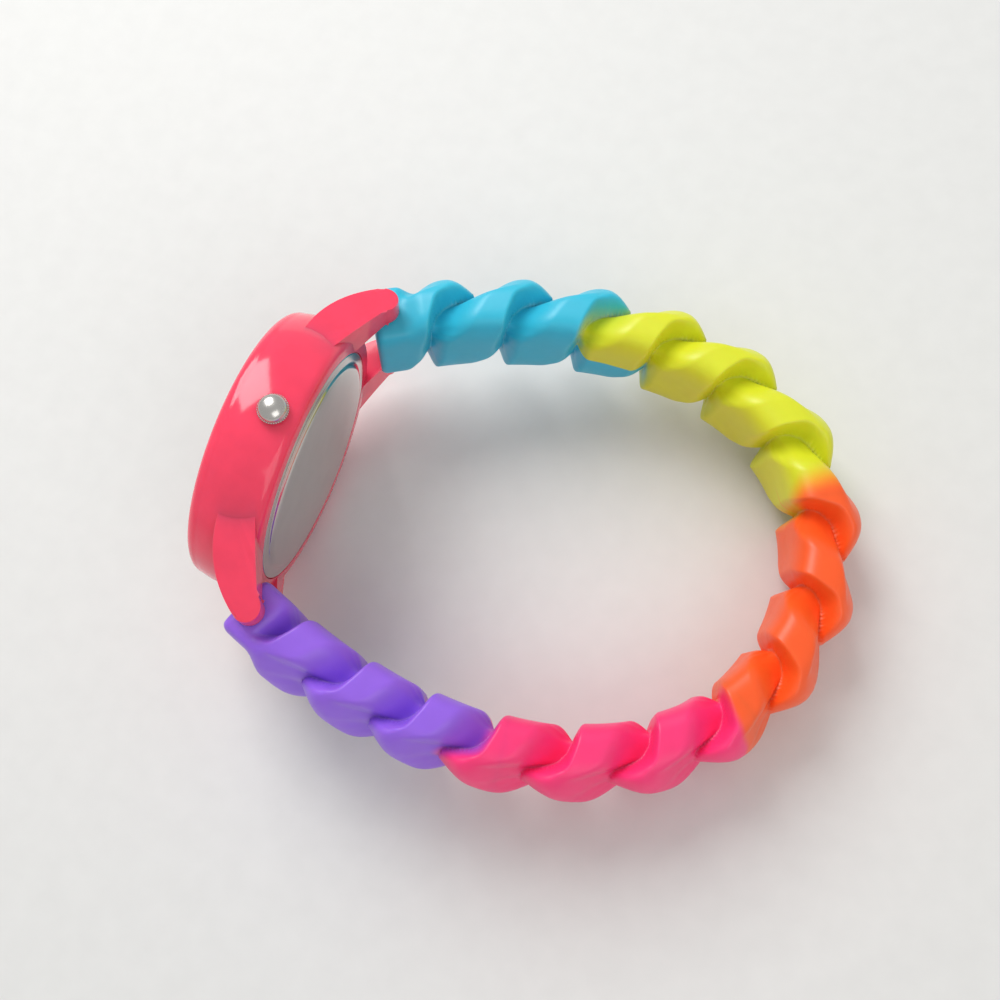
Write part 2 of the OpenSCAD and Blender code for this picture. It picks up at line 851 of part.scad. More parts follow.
module chip() {
    color("black")
        translate([chip_at[0], chip_at[1], bridge_top_z + board_t])
            cube(chip_size);
}

// Quartz can: lies on the board along the 12 o'clock direction
module quartz_can() {
    color("silver")
        translate([can_at[0], can_at[1], bridge_top_z + board_t + can_r])
            rotate([-90, 0, 0])
                cylinder(r = can_r, h = can_len);
}

core_z = stator_z + stator_t;
coil_z = core_z + core_t / 2;
coil_x0 = arm_left_x + arm_w / 2 + 2 * air;
coil_x1 = arm_right_x - arm_w / 2 - 2 * air;

module coil() {
    color("chocolate")
        difference() {
            along_x(coil_x0, coil_x1, coil_r, coil_y, coil_z);
            translate([coil_x0 - past, coil_y - core_w / 2 - seat, core_z - seat])
                cube([coil_x1 - coil_x0 + 2 * past, core_w + 2 * seat, core_t + 2 * seat]);
        }
}

module coil_core() {
    color("gray")
        translate([arm_left_x - arm_w / 2, coil_y - core_w / 2, core_z])
            cube([arm_right_x - arm_left_x + arm_w, core_w, core_t]);
}

// A straight piece of the stator's sheet between two corners
module bar2(x0, x1, y0, y1) {
    translate([x0, y0])
        square([x1 - x0, y1 - y0]);
}

// Stator: two arms from the ends of the coil's core to either side of the rotor
module stator() {
    arm_end = coil_y - core_w / 2;
    color("darkgray")
        flat_piece(stator_z, stator_z + stator_t)
            difference() {
                union() {
                    translate(rotor_at)
                        circle(stator_r);
                    bar2(arm_left_x - arm_w / 2, arm_left_x + arm_w / 2, arm_end, rotor_at[1]);
                    bar2(rotor_at[0] + magnet_r, rotor_at[0] + stator_r, arm_cross_y, rotor_at[1]);
                    bar2(rotor_at[0] + magnet_r, arm_right_x + arm_w / 2, arm_cross_y - arm_w / 2, arm_cross_y + arm_w / 4);
                    bar2(arm_right_x - arm_w / 2, arm_right_x + arm_w / 2, arm_end, arm_cross_y);
                }
                translate(rotor_at)
                    circle(magnet_r + air);
            }
}

// Strap: a moulded chain. A groove winds once round the strap for each link. It crosses the inner side,
// runs on along the strap over the upper edge, crosses the outer side and runs on again under the lower edge.
first_groove = 5.2;
link_pitch = (loop_len - 2 * first_groove) / (link_count - 2);
top_lead = 0.14;
edge_lead = 0.46;
back_lead = 0.1;
inner_run = 2;
upper_run = 5.6;
outer_run = 4.5;
lower_run = 0.9;
inner_power = 3.8;
outer_power = 2.5;
block_power = 9;
block_fade = 3;
side_steps = 20;
rings_per_link = 12;

// Radius of a rounded rectangle with half sizes u and w, in direction a
function rounded(u, w, power, a) =
    pow(pow(abs(cos(a)) / u, power) + pow(abs(sin(a)) / w, power), -1 / power);
function smooth(x) = let (c = min(max(x, 0), 1)) c * c * (3 - 2 * c);
// Direction a of a section as a share of a turn, from the inner side over the upper edge
function turn_share(a) = ((540 - a) % 360) / 360;
// The number of the link at s: the links lie a little further on over the far half of the strap
function shift_at(s) =
    link_shift * smooth((s / loop_len - 0.27) / 0.23) * (1 - smooth((s / loop_len - 0.78) / 0.18));
function link_number(s) = (s - first_groove - shift_at(s)) / link_pitch;
// How far the groove has run on along the strap, in links
function half_lead(y) =
    top_lead * smooth((y - 0.13) / 0.12) + edge_lead * smooth((y - 0.26) / 0.08)
    - back_lead * smooth((y - 0.36) / 0.14);
function groove_lead(y) = y <= 0.5 ? half_lead(y) : 1 - half_lead(1 - y);
function groove_depth(y) =
    let (h = min(y, 1 - y))
        groove_inner + (groove_edge - groove_inner) * smooth((h - 0.05) / 0.17)
        - (groove_edge - groove_outer) * smooth((h - 0.27) / 0.13);
// Length of the slope by which a link rises out of the groove
function rise_run(y) =
    inner_run + (upper_run - inner_run) * smooth((y - 0.06) / 0.14)
    - (upper_run - outer_run) * smooth((y - 0.32) / 0.18)
    - (outer_run - lower_run) * smooth((y - 0.52) / 0.22)
    + (inner_run - lower_run) * smooth((y - 0.84) / 0.12);
// How far the links reach in direction a of the section at s
function link_reach(s, a) =
    let (
        y = turn_share(a),
        count = link_number(s) - groove_lead(y),
        along = count - floor(count),
        risen = smooth(along * link_pitch / rise_run(y))
            * smooth((1 - along) * link_pitch / rise_run(1 - y)),
        inner = cos(a) < 0,
        full = rounded(
            inner ? inner_flat : strap_t - inner_flat, strap_w / 2, inner ? inner_power : outer_power, a)
    ) full - groove_depth(y) * (1 - risen) + link_tilt * sin(a) * (along - 0.5);
function strap_reach(s, a) =
    let (
        from_end = min(s, loop_len - s),
        block = rounded(cos(a) < 0 ? inner_flat : block_out, block_w / 2, block_power, a)
    ) block + (link_reach(s, a) - block) * smooth((from_end - block_len) / block_fade);
function strap_ring(s) = [
    for (j = [0 : side_steps - 1])
        let (a = 360 * (j + 0.5) / side_steps, r = strap_reach(s, a))
            strap_point(s, r * cos(a), r * sin(a))
];

// The strap between two places along the loop, closed by a flat face at each end
module strap_length(s0, s1) {
    rings = ceil((s1 - s0) / link_pitch * rings_per_link);
    places = [for (i = [0 : rings]) s0 + (s1 - s0) * i / rings];
    wall_points = [for (s = places) each strap_ring(s)];
    end_points = [strap_point(s0, 0, 0), strap_point(s1, 0, 0)];
    first = len(wall_points);
    walls = [
        for (i = [0 : rings - 1], j = [0 : side_steps - 1], half = [0, 1])
            let (
                near = i * side_steps + j,
                near2 = i * side_steps + (j + 1) % side_steps,
                next = near + side_steps,
                next2 = near2 + side_steps
            ) half == 0 ? [near, next, next2] : [near, next2, near2]
    ];
    ends = [
        for (j = [0 : side_steps - 1], half = [0, 1])
            let (j2 = (j + 1) % side_steps, base = rings * side_steps)
                half == 0 ? [first, j, j2] : [first + 1, base + j2, base + j]
    ];
    polyhedron(points = concat(wall_points, end_points), faces = concat(walls, ends));
}

// The colours change at even places along the strap, each near a groove
function change_at(k) = first_groove + (k + top_lead) * link_pitch;
yellow_groove = 2;
orange_groove = 6;
pink_groove = 9;
purple_groove = 12;
strap_end = loop_len + block_past;
strap_bore_r = bar_d / 2 + slip;

module strap_bore(end) {
    along_x(-strap_w, strap_w, strap_bore_r, end * bar_y, -bar_drop);
}

module strap_blue() {
    color("deepskyblue")
        difference() {
            strap_length(-block_past, change_at(yellow_groove));
            strap_bore(1);
        }
}

module strap_yellow() {
    color("yellow")
        strap_length(change_at(yellow_groove), change_at(orange_groove));
}

module strap_orange() {
    color("orangered")
        strap_length(change_at(orange_groove), change_at(pink_groove));
}

module strap_pink() {
    color("deeppink")
        strap_length(change_at(pink_groove), change_at(purple_groove));
}

module strap_purple() {
    color("mediumpurple")
        difference() {
            strap_length(change_at(purple_groove), strap_end);
            strap_bore(-1);
        }
}

// Spring bars: a tube through the strap's end, with a sprung pin at each end
bar_half = block_w / 2 - air;
pin_r = pin_d / 2;
pin_tip_x = lug_gap / 2 + pin_reach;
pin_in_x = 3.6;
spring_wall = 0.2;

module bar_tube(end) {
    color("silver")
        difference() {
            along_x(-bar_half, bar_half, bar_d / 2, end * bar_y, -bar_drop);
            along_x(-strap_w, strap_w, pin_r + slip, end * bar_y, -bar_drop);
        }
}

module bar_spring(end) {
    color("gray")
        difference() {
            along_x(-pin_in_x, pin_in_x, pin_r, end * bar_y, -bar_drop);
            along_x(-strap_w, strap_w, pin_r - spring_wall, end * bar_y, -bar_drop);
        }
}

module bar_pin(end, side) {
    color("silver")
        along_x(side > 0 ? pin_in_x : -pin_tip_x, side > 0 ? pin_tip_x : -pin_in_x, pin_r, end * bar_y, -bar_drop);
}

module bar_tube_12() { bar_tube(1); }
module bar_tube_6() { bar_tube(-1); }
module bar_spring_12() { bar_spring(1); }
module bar_spring_6() { bar_spring(-1); }
module pin_12_upper() { bar_pin(1, 1); }
module pin_12_lower() { bar_pin(1, -1); }
module pin_6_upper() { bar_pin(-1, 1); }
module pin_6_lower() { bar_pin(-1, -1); }

// Points on the strap's surface
skin_rings = 128;
skin_points = [
    for (i = [0 : skin_rings]) each strap_ring(-block_past + (strap_end + block_past) * i / skin_rings)
];

// The way the watch lies: the lowest line of its case and the strap's lowest link touch the ground.
// drop() is how far a point of the barrel's outline lies below the case axis when it is turned by angle a.
function drop(p, a) = p[0] * cos(a) - p[1] * sin(a);
function lowest(a) =
    let (drops = [for (p = barrel_profile) drop(p, a)]) barrel_profile[search(max(drops), drops)[0]];
function lean_of(p) =
    min([for (q = skin_points) if (q[2] < -loop_reach / 2) atan((p[0] + q[0]) / (p[1] - q[2]))]);
first_lean = lean_of([case_r, waist_z]);
lie_angle = lean_of(lowest(first_lean));
lift = drop(lowest(lie_angle), lie_angle);

// The middle of the part's outline on the ground
skin_ys = [for (p = skin_points) p[1]];
skin_xs = [for (p = skin_points) p[0] * sin(lie_angle) - p[2] * cos(lie_angle)];
front_xs = [for (p = barrel_profile) p[0] * sin(lie_angle) + p[1] * cos(lie_angle)];
mid_y = (max(skin_ys) + min(skin_ys)) / 2;
mid_x = (max(skin_xs) - max(front_xs)) / 2;

// Turns a piece from dial up to its place on the ground
module lay() {
    translate([-mid_x, -mid_y, lift])
        rotate([0, lie_angle - 90, 0])
            children();
}

lay() case();
lay() crystal();
lay() case_back();
lay() back_gasket();
lay() movement_ring();
lay() dial();
lay() hour_hand();
lay() minute_hand();
lay() second_hand();
lay() crown();
lay() crown_gasket();
lay() crown_tube();
lay() stem();
lay() setting_pinion();
lay() stem_clip();
lay() main_plate();
lay() train_bridge();
lay() movement_screws();
lay() button_cell();
lay() cell_clip();
lay() circuit_board();
lay() chip();
lay() quartz_can();
lay() coil();
lay() coil_core();
lay() stator();
lay() rotor();
lay() intermediate_wheel();
lay() second_wheel();
lay() third_wheel();
lay() centre_wheel();
lay() minute_wheel();
lay() hour_wheel();
lay() strap_blue();
lay() strap_yellow();
lay() strap_orange();
lay() strap_pink();
lay() strap_purple();
lay() bar_tube_12();
lay() bar_tube_6();
lay() bar_spring_12();
lay() bar_spring_6();
lay() pin_12_upper();
lay() pin_12_lower();
lay() pin_6_upper();
lay() pin_6_lower();
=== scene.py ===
"""Looks of a child's slip-on wrist watch, laid on its side.

A silicone stretch strap of twisted links in five colours, a coral case with curved lugs, a pressed
steel back, a knurled crown and a numbered dial behind a flat crystal.
"""
import json
import math

import bmesh
import bpy
import numpy as np
from mathutils import Matrix

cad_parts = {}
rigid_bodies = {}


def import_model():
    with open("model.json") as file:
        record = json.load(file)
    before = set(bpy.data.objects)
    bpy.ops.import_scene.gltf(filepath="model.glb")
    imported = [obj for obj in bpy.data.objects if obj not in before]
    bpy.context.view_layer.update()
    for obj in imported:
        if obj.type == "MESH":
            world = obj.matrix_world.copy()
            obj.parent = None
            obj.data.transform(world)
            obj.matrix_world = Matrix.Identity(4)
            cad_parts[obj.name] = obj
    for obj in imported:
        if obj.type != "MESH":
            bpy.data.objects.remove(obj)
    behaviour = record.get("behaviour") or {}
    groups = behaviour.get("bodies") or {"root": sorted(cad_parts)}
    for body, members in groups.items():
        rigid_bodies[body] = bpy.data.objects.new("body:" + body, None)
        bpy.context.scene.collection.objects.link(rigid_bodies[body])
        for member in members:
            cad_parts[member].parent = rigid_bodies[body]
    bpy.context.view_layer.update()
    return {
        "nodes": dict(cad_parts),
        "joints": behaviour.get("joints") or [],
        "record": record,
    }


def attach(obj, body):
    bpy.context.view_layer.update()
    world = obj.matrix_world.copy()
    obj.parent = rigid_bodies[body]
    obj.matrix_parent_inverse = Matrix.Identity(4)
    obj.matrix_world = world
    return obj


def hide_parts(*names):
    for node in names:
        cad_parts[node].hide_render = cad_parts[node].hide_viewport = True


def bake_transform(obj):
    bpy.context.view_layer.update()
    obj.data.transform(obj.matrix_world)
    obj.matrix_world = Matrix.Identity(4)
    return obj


bl_info = {
    "name": "Slip-on Wrist Watch",
    "version": (1, 0, 0),
    "blender": (4, 5, 0),
    "location": "View3D > Sidebar > Watch",
    "description": "Dresses a packed wrist watch with its strap, case, dial and finishes",
    "category": "Object",
}

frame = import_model()

# Lie of the watch

# The watch is drawn upright in millimetres: x to 3 o'clock, y to 12 o'clock, z out of the dial, z = 0 at the
# rim of the steel back. The frame says how it lies, by the crown's axis and the middle of the back.
MM = 0.001
BACK_DISH = 0.4
crown_joint = next(joint for joint in frame["joints"] if joint["name"] == "crown_turn")
back_mount = next(mount for mount in frame["record"]["mounts"] if mount["name"] == "back_face")
CROWN_WAY = np.array(crown_joint["axis"])
DIAL_WAY = -np.array(back_mount["axis"])
WATCH_AXES = np.array([CROWN_WAY, np.cross(DIAL_WAY, CROWN_WAY), DIAL_WAY])
BACK_CENTRE = np.array(back_mount["pos_m"]) / MM + BACK_DISH * DIAL_WAY


def laid(points):
    """Points of the upright watch in millimetres, as metres on the watch that lies on its side."""
    return (BACK_CENTRE + np.asarray(points, float) @ WATCH_AXES) * MM


# Settings


def colour_setting(label, description, default):
    return bpy.props.FloatVectorProperty(
        name=label, description=description, subtype="COLOR_GAMMA", default=default, min=0, max=1)


def number_setting(label, description, default, low, high):
    return bpy.props.FloatProperty(name=label, description=description, default=default, min=low, max=high)


def light_setting(label, description, default):
    return bpy.props.FloatProperty(
        name=label, description=description, subtype="POWER", default=default, min=0.0, max=20.0)


def linear(colour):
    """A screen colour as the light it stands for."""
    return tuple(c / 12.92 if c <= 0.04045 else ((c + 0.055) / 1.055) ** 2.4 for c in colour[:3])


# Meshes

# Points closer than this, in metres, are one, and edges shorter than this are none
SAME_POINT = 1e-7
NO_EDGE = 1e-8


def add_object(name, data):
    obj = bpy.data.objects.new(name, data)
    bpy.context.scene.collection.objects.link(obj)
    return obj


def mesh_from(name, points, faces, material, sharp):
    """A closed mesh of the upright watch, laid down, with merged doubles and outward faces."""
    mesh = bpy.data.meshes.new(name)
    mesh.from_pydata([tuple(p) for p in laid(points)], [], faces)
    tidy_mesh(mesh, sharp)
    mesh.materials.append(material)
    return mesh


def tidy_mesh(mesh, sharp):
    """Merges doubles, turns the faces outward and smooths all edges flatter than sharp, in degrees."""
    work = bmesh.new()
    work.from_mesh(mesh)
    bmesh.ops.remove_doubles(work, verts=work.verts, dist=SAME_POINT)
    bmesh.ops.dissolve_degenerate(work, edges=work.edges, dist=NO_EDGE)
    bmesh.ops.recalc_face_normals(work, faces=work.faces)
    work.to_mesh(mesh)
    work.free()
    mesh.shade_smooth()
    mesh.set_sharp_from_angle(angle=math.radians(sharp))


def close_holes(mesh):
    work = bmesh.new()
    work.from_mesh(mesh)
    bmesh.ops.holes_fill(work, edges=[edge for edge in work.edges if edge.is_boundary], sides=0)
    work.to_mesh(mesh)
    work.free()


def read(items, attribute, width):
    """An attribute of a mesh's items, one row for each."""
    values = np.empty(len(items) * width)
    items.foreach_get(attribute, values)
    return values.reshape(-1, width)


def turned_points(profile, steps):
    """A profile of (radius, height) turned about the case axis."""
    angles = np.arange(steps) * 2 * math.pi / steps
    points = [(r * math.cos(a), r * math.sin(a), z) for r, z in profile for a in angles]
    rows = len(profile)
    faces = []
    for i in range(rows):
        k = (i + 1) % rows
        if profile[i][0] == 0 and profile[k][0] == 0:
            continue
        for j in range(steps):
            n = (j + 1) % steps
            faces.append((i * steps + j, i * steps + n, k * steps + n, k * steps + j))
    return points, faces


def arc(cx, cy, r, a0, a1, steps):
    """Points of an arc from one angle to another, in degrees."""
    turns = [math.radians(a0 + (a1 - a0) * i / steps) for i in range(steps + 1)]
    return [(cx + r * math.cos(a), cy + r * math.sin(a)) for a in turns]


def bend(p0, p1, p2, steps):
    """Points of a curve from p0 to p2 that p1 draws aside."""
    out = []
    for i in range(steps + 1):
        t = i / steps
        out.append(tuple(a * (1 - t) ** 2 + b * 2 * t * (1 - t) + c * t * t for a, b, c in zip(p0, p1, p2)))
    return out


# Node trees


def add(tree, kind, inputs=None, **settings):
    """A node with its settings, and its inputs set or linked."""
    node = tree.nodes.new(kind)
    for key, value in settings.items():
        setattr(node, key, value)
    for key, value in (inputs or {}).items():
        if isinstance(value, bpy.types.NodeSocket):
            tree.links.new(value, node.inputs[key])
        else:
            node.inputs[key].default_value = value
    return node


def calc(tree, operation, *values):
    return add(tree, "ShaderNodeMath", dict(enumerate(values)), operation=operation).outputs[0]


def rest_of(tree, share):
    """What is left of one."""
    return calc(tree, "SUBTRACT", 1.0, share)


def mix(tree, factor, first, second):
    return add(tree, "ShaderNodeMix", {"Factor": factor, "A": first, "B": second},
               data_type="FLOAT").outputs[0]


def smooth_step(tree, value, low, high):
    return add(tree, "ShaderNodeMapRange", {"Value": value, 1: low, 2: high},
               interpolation_type="SMOOTHSTEP").outputs[0]


def vector(tree, x, y, z):
    return add(tree, "ShaderNodeCombineXYZ", {0: x, 1: y, 2: z}).outputs[0]


def point_place(tree):
    """The x, y and z of each point."""
    place = add(tree, "GeometryNodeInputPosition").outputs[0]
    return add(tree, "ShaderNodeSeparateXYZ", {0: place}).outputs


def new_tree(name, inputs):
    """A geometry tree with named inputs, and the sockets that give them."""
    tree = bpy.data.node_groups.new(name, "GeometryNodeTree")
    for label, kind in inputs:
        tree.interface.new_socket(label, in_out="INPUT", socket_type="NodeSocket" + kind)
    tree.interface.new_socket("Geometry", in_out="OUTPUT", socket_type="NodeSocketGeometry")
    return tree, tree.nodes.new("NodeGroupInput").outputs


def end_tree(tree, geometry, material):
    """Gives the geometry its material and sends it out of the tree."""
    made = add(tree, "GeometryNodeSetMaterial", {"Geometry": geometry, "Material": material})
    add(tree, "NodeGroupOutput", {0: made.outputs[0]})


def run_tree(name, tree, values):
    """The plain mesh that the tree gives, its inputs set by identifier."""
    obj = add_object(name, bpy.data.meshes.new(name))
    modifier = obj.modifiers.new(tree.name, "NODES")
    modifier.node_group = tree
    for item in tree.interface.items_tree:
        if item.in_out == "INPUT" and item.name in values:
            modifier[item.identifier] = values[item.name]
    return settle(obj)


def settle(obj):
    """The plain mesh of an object as it shows. The object is removed."""
    mesh = bpy.data.meshes.new_from_object(obj.evaluated_get(bpy.context.evaluated_depsgraph_get()))
    bpy.data.batch_remove((obj, obj.data))
    return mesh


# Finishes

# Scales of the noise that changes the shade and the gloss of a piece
SHADE_NOISE = 300.0
GLOSS_NOISE = 900.0
SILICONE_SHADE_NOISE = 450.0
SILICONE_GLOSS_NOISE = 1200.0
CRYSTAL_GLOSS_NOISE = 1500.0
# A grain is the scale of its noise, its strength and its depth in metres
PLAIN_GRAIN = (2500.0, 0.15, 0.00002)
CASE_GRAIN = (700.0, 0.05, 0.00002)
BACK_GRAIN = (1500.0, 0.04, 0.00001)
CROWN_GRAIN = (1800.0, 0.04, 0.00001)
SILICONE_GRAIN = (1800.0, 0.12, 0.00003)
FLOOR_GRAIN = (900.0, 0.05, 0.00002)


def new_material(name):
    material = bpy.data.materials.new(name)
    material.use_nodes = True
    tree = material.node_tree
    return material, tree, tree.nodes["Principled BSDF"]


def set_inputs(shader, values):
    for label, value in values.items():
        shader.inputs[label].default_value = value


def speckle(tree, scale, detail=3.0):
    """Noise on the object's own coordinates, from 0 to 1."""
    place = add(tree, "ShaderNodeTexCoord").outputs["Object"]
    return add(tree, "ShaderNodeTexNoise", {"Vector": place, "Scale": scale, "Detail": detail}).outputs["Fac"]


def spread(tree, factor, low, high):
    return add(tree, "ShaderNodeMapRange", {"Value": factor, 3: low, 4: high}).outputs[0]


def shade_between(tree, factor, first, second):
    ramp = add(tree, "ShaderNodeValToRGB", {"Fac": factor})
    for element, position, colour in zip(ramp.color_ramp.elements, (0.3, 0.7), (first, second)):
        element.position = position
        element.color = (*colour, 1)
    return ramp.outputs[0]


def roughen(tree, shader, scale, strength, depth):
    """A fine bump in the surface."""
    bump = add(tree, "ShaderNodeBump", {
        "Height": speckle(tree, scale, 4.0), "Strength": strength, "Distance": depth})
    tree.links.new(bump.outputs[0], shader.inputs["Normal"])


def finish(name, colour, rough, metal=0.0, vary=0.08, grain=PLAIN_GRAIN, glow=0.0):
    """A plastic, metal or print with a slight change of shade and gloss over the piece."""
    material, tree, shader = new_material(name)
    base = np.array(linear(colour))
    shades = [tuple(np.clip(base * k, 0, 1)) for k in (1 - vary, 1 + vary)]
    tree.links.new(shade_between(tree, speckle(tree, SHADE_NOISE), *shades), shader.inputs["Base Color"])
    tree.links.new(spread(tree, speckle(tree, GLOSS_NOISE), *rough), shader.inputs["Roughness"])
    set_inputs(shader, {"Metallic": metal})
    if glow:
        set_inputs(shader, {
            "Subsurface Weight": glow, "Subsurface Radius": (1.0, 0.35, 0.25), "Subsurface Scale": 0.0015})
    roughen(tree, shader, *grain)
    return material


def silicone(name):
    """Satin silicone that takes its colour from the strap's own shade attribute."""
    material, tree, shader = new_material(name)
    shade = add(tree, "ShaderNodeAttribute", attribute_name="shade").outputs["Color"]
    cloud = spread(tree, speckle(tree, SILICONE_SHADE_NOISE), 0.94, 1.06)
    mixed = add(tree, "ShaderNodeVectorMath", {0: shade, 1: cloud}, operation="MULTIPLY").outputs[0]
    tree.links.new(mixed, shader.inputs["Base Color"])
    gloss = spread(tree, speckle(tree, SILICONE_GLOSS_NOISE), 0.34, 0.46)
    tree.links.new(gloss, shader.inputs["Roughness"])
    set_inputs(shader, {
        "Subsurface Weight": 0.25, "Subsurface Radius": (1.0, 0.6, 0.5), "Subsurface Scale": 0.0012})
    roughen(tree, shader, *SILICONE_GRAIN)
    return material


def clear_plastic(name):
    material, tree, shader = new_material(name)
    set_inputs(shader, {"Base Color": (0.96, 0.98, 0.98, 1), "Transmission Weight": 1.0, "IOR": 1.49})
    gloss = spread(tree, speckle(tree, CRYSTAL_GLOSS_NOISE), 0.01, 0.04)
    tree.links.new(gloss, shader.inputs["Roughness"])
    return material


# Strap

# The middle line round the wrist: half its turn in degrees, then half its width, its lean to 12 o'clock and
# its reach behind the watch
LOOP_TURN = 122.5
LOOP_HALF = 26.0
LOOP_LEAN = 5.6
LOOP_REACH = 60.6
# The spring bars, out from the middle of the case and behind its back
BAR_Y = 19.4
BAR_DROP = 1.2
# Steps of the middle line for its length and for its path
LENGTH_STEPS = 160
PATH_STEPS = 640
# The links, the place of the first groove, and how far the end blocks reach past the bars
LINKS = 17
FIRST_GROOVE = 5.2
BLOCK_PAST = 1.5
# How far the links of the far half lie on from an even spacing, and the shares of the strap's length over
# which this comes and goes
LINK_SHIFT = 2.5
SHIFT_COMES = (0.27, 0.5)
SHIFT_GOES = (0.78, 0.96)
# Round the strap's section the turn runs from 0 to 1: from the middle of the inner side over the upper edge
# and the outer side and back under the lower edge. Each list gives (turn, value), values as shares.
GROOVE_LEAD = (
    (0, 0), (0.13, 0), (0.18, 0.03), (0.25, 0.14), (0.272, 0.20), (0.30, 0.42), (0.33, 0.58), (0.38, 0.60),
    (0.5, 0.5))
GROOVE_DEPTH = (
    (0, 0.64), (0.08, 0.68), (0.13, 0.8), (0.17, 0.9), (0.22, 1.0), (0.26, 1.0), (0.30, 0.92), (0.34, 0.82),
    (0.40, 0.74), (0.5, 0.7))
RISE_AFTER = (
    (0, 0.33), (0.08, 0.38), (0.13, 0.6), (0.18, 0.85), (0.25, 0.95), (0.315, 1.0), (0.40, 0.87), (0.5, 0.75),
    (0.6, 0.63), (0.685, 0.45), (0.74, 0.16), (0.82, 0.13), (0.87, 0.2), (0.92, 0.3), (1, 0.33))
# The longest rise from a groove. Rises up to the first length start briskly, those of the second smoothly.
LONGEST_RISE = 6.0
RISE_KINDS = (2.4, 5.2)
# How square the section is, and how far inward a point faces where the inner side comes in
OUTER_POWER = 2.5
INNER_POWER = 3.8
BLOCK_POWER = 7.0
INNER_COMES = (-0.15, 0.25)
# The plain end blocks: half width, outer side, where the links come in, and the rounding of the ends
BLOCK_HALF = 5.8
BLOCK_OUTER = 3.4
LINKS_COME = (3.2, 6.2)
END_ROUND = 1.0
# Points this close to an end are on it, and points this close to each other are merged
AT_END = 0.01
MERGED = 0.001
PIECES = ("blue", "yellow", "orange", "pink", "purple")
# Where one colour gives way to the next: the groove, how far the border follows it, its shift on the upper
# edge, and the width over which the colours mix
BORDERS = ((2, 1.0, 0.0, 1.6), (6, 0.0, -2.4, 4.0), (9, 0.15, 0.0, 1.0), (12, 1.0, 0.0, 2.2))
# The turns where the upper edge starts and ends, each with the width over which it does
UPPER_STARTS = (0.1, 0.08)
UPPER_ENDS = (0.6, 0.1)
# The borders waver a little round the strap
WAVER = 0.25
WAVER_TURNS = 31
# The pieces are cut this share of a link past the even place of each border's groove
CUT_LEAD = 0.14
# Where the two stretching pieces stay with the case, and where they move with the far end, in metres
STRETCH = {"yellow": (-0.0005, 0.0255), "pink": (0.0074, 0.0242)}
# Values that the skin's points keep for their colour
SPOTS = ("along", "turn", "lead", "count")


def loop_points(steps):
    """The strap's middle line, from the 12 o'clock bar round to the 6 o'clock bar."""
    half = math.radians(LOOP_TURN)
    deep = (LOOP_REACH - BAR_DROP) / (1 - math.cos(half))
    pinch = (BAR_Y - LOOP_HALF * math.sin(half)) / math.sin(2 * half)
    t = half * (1 - 2 * np.arange(steps + 1) / steps)
    y = LOOP_HALF * np.sin(t) + pinch * np.sin(2 * t) + LOOP_LEAN * np.cos(t * math.pi / 2 / half)
    z = -(LOOP_REACH - deep) - deep * np.cos(t)
    return np.stack([np.zeros_like(y), y, z], axis=1)


LOOP_LENGTH = float(np.linalg.norm(np.diff(loop_points(LENGTH_STEPS), axis=0), axis=1).sum())
LINK_PITCH = (LOOP_LENGTH - 2 * FIRST_GROOVE) / (LINKS - 2)


def strap_path():
    """A curve along the strap's middle line."""
    path = bpy.data.curves.new("strap_path", "CURVE")
    path.dimensions = "3D"
    line = path.splines.new("POLY")
    route = laid(loop_points(PATH_STEPS))
    line.points.add(len(route) - 1)
    line.points.foreach_set("co", np.c_[route, np.ones(len(route))].ravel())
    return add_object("strap_path", path)


def mirrored(points, turned_over=False):
    """A list for half the section, carried on for the other half."""
    return points + tuple((1 - x, 1 - y if turned_over else y) for x, y in reversed(points[:-1]))


def curve_of(tree, value, points):
    """A float curve through the points."""
    node = add(tree, "ShaderNodeFloatCurve", {"Value": value})
    line = node.mapping.curves[0]
    line.points[0].location, line.points[1].location = points[0], points[-1]
    for x, y in points[1:-1]:
        line.points.new(x, y)
    for point in line.points:
        point.handle_type = "AUTO_CLAMPED"
    node.mapping.update()
    return node.outputs[0]


def oval_reach(tree, facing, half_out, half_across, power):
    """How far a rounded rectangle reaches in the way that it faces."""
    parts = [calc(tree, "POWER", calc(tree, "DIVIDE", calc(tree, "ABSOLUTE", way), half), power)
             for way, half in zip(facing, (half_out, half_across))]
    return calc(tree, "POWER", calc(tree, "ADD", *parts), calc(tree, "DIVIDE", -1.0, power))


def link_count(tree, given, along):
    """The number of the link at each place along the strap."""
    part = calc(tree, "DIVIDE", along, given["Strap length"])
    shifted = calc(tree, "MULTIPLY", smooth_step(tree, part, *SHIFT_COMES),
                   rest_of(tree, smooth_step(tree, part, *SHIFT_GOES)))
    start = calc(tree, "MULTIPLY_ADD", shifted, LINK_SHIFT * MM, FIRST_GROOVE * MM)
    return calc(tree, "DIVIDE", calc(tree, "SUBTRACT", along, start), given["Link length"])


def groove_cut(tree, given, turn, share):
    """How deep the groove cuts at each share of a link past it."""
    rises = []
    for way, past in ((turn, share), (rest_of(tree, turn), rest_of(tree, share))):
        run = calc(tree, "MULTIPLY", curve_of(tree, way, RISE_AFTER), LONGEST_RISE * MM)
        climb = calc(tree, "DIVIDE", calc(tree, "MULTIPLY", past, given["Link length"]), run)
        climb = calc(tree, "MINIMUM", climb, 1.0)
        ahead = rest_of(tree, climb)
        brisk = rest_of(tree, calc(tree, "MULTIPLY", ahead, ahead))
        smooth = smooth_step(tree, climb, 0.0, 1.0)
        kind = smooth_step(tree, run, *(length * MM for length in RISE_KINDS))
        rises.append(mix(tree, kind, brisk, smooth))
    low = rest_of(tree, calc(tree, "MULTIPLY", *rises))
    depth = calc(tree, "MULTIPLY", curve_of(tree, turn, mirrored(GROOVE_DEPTH)), given["Groove"])
    return calc(tree, "MULTIPLY", low, depth)


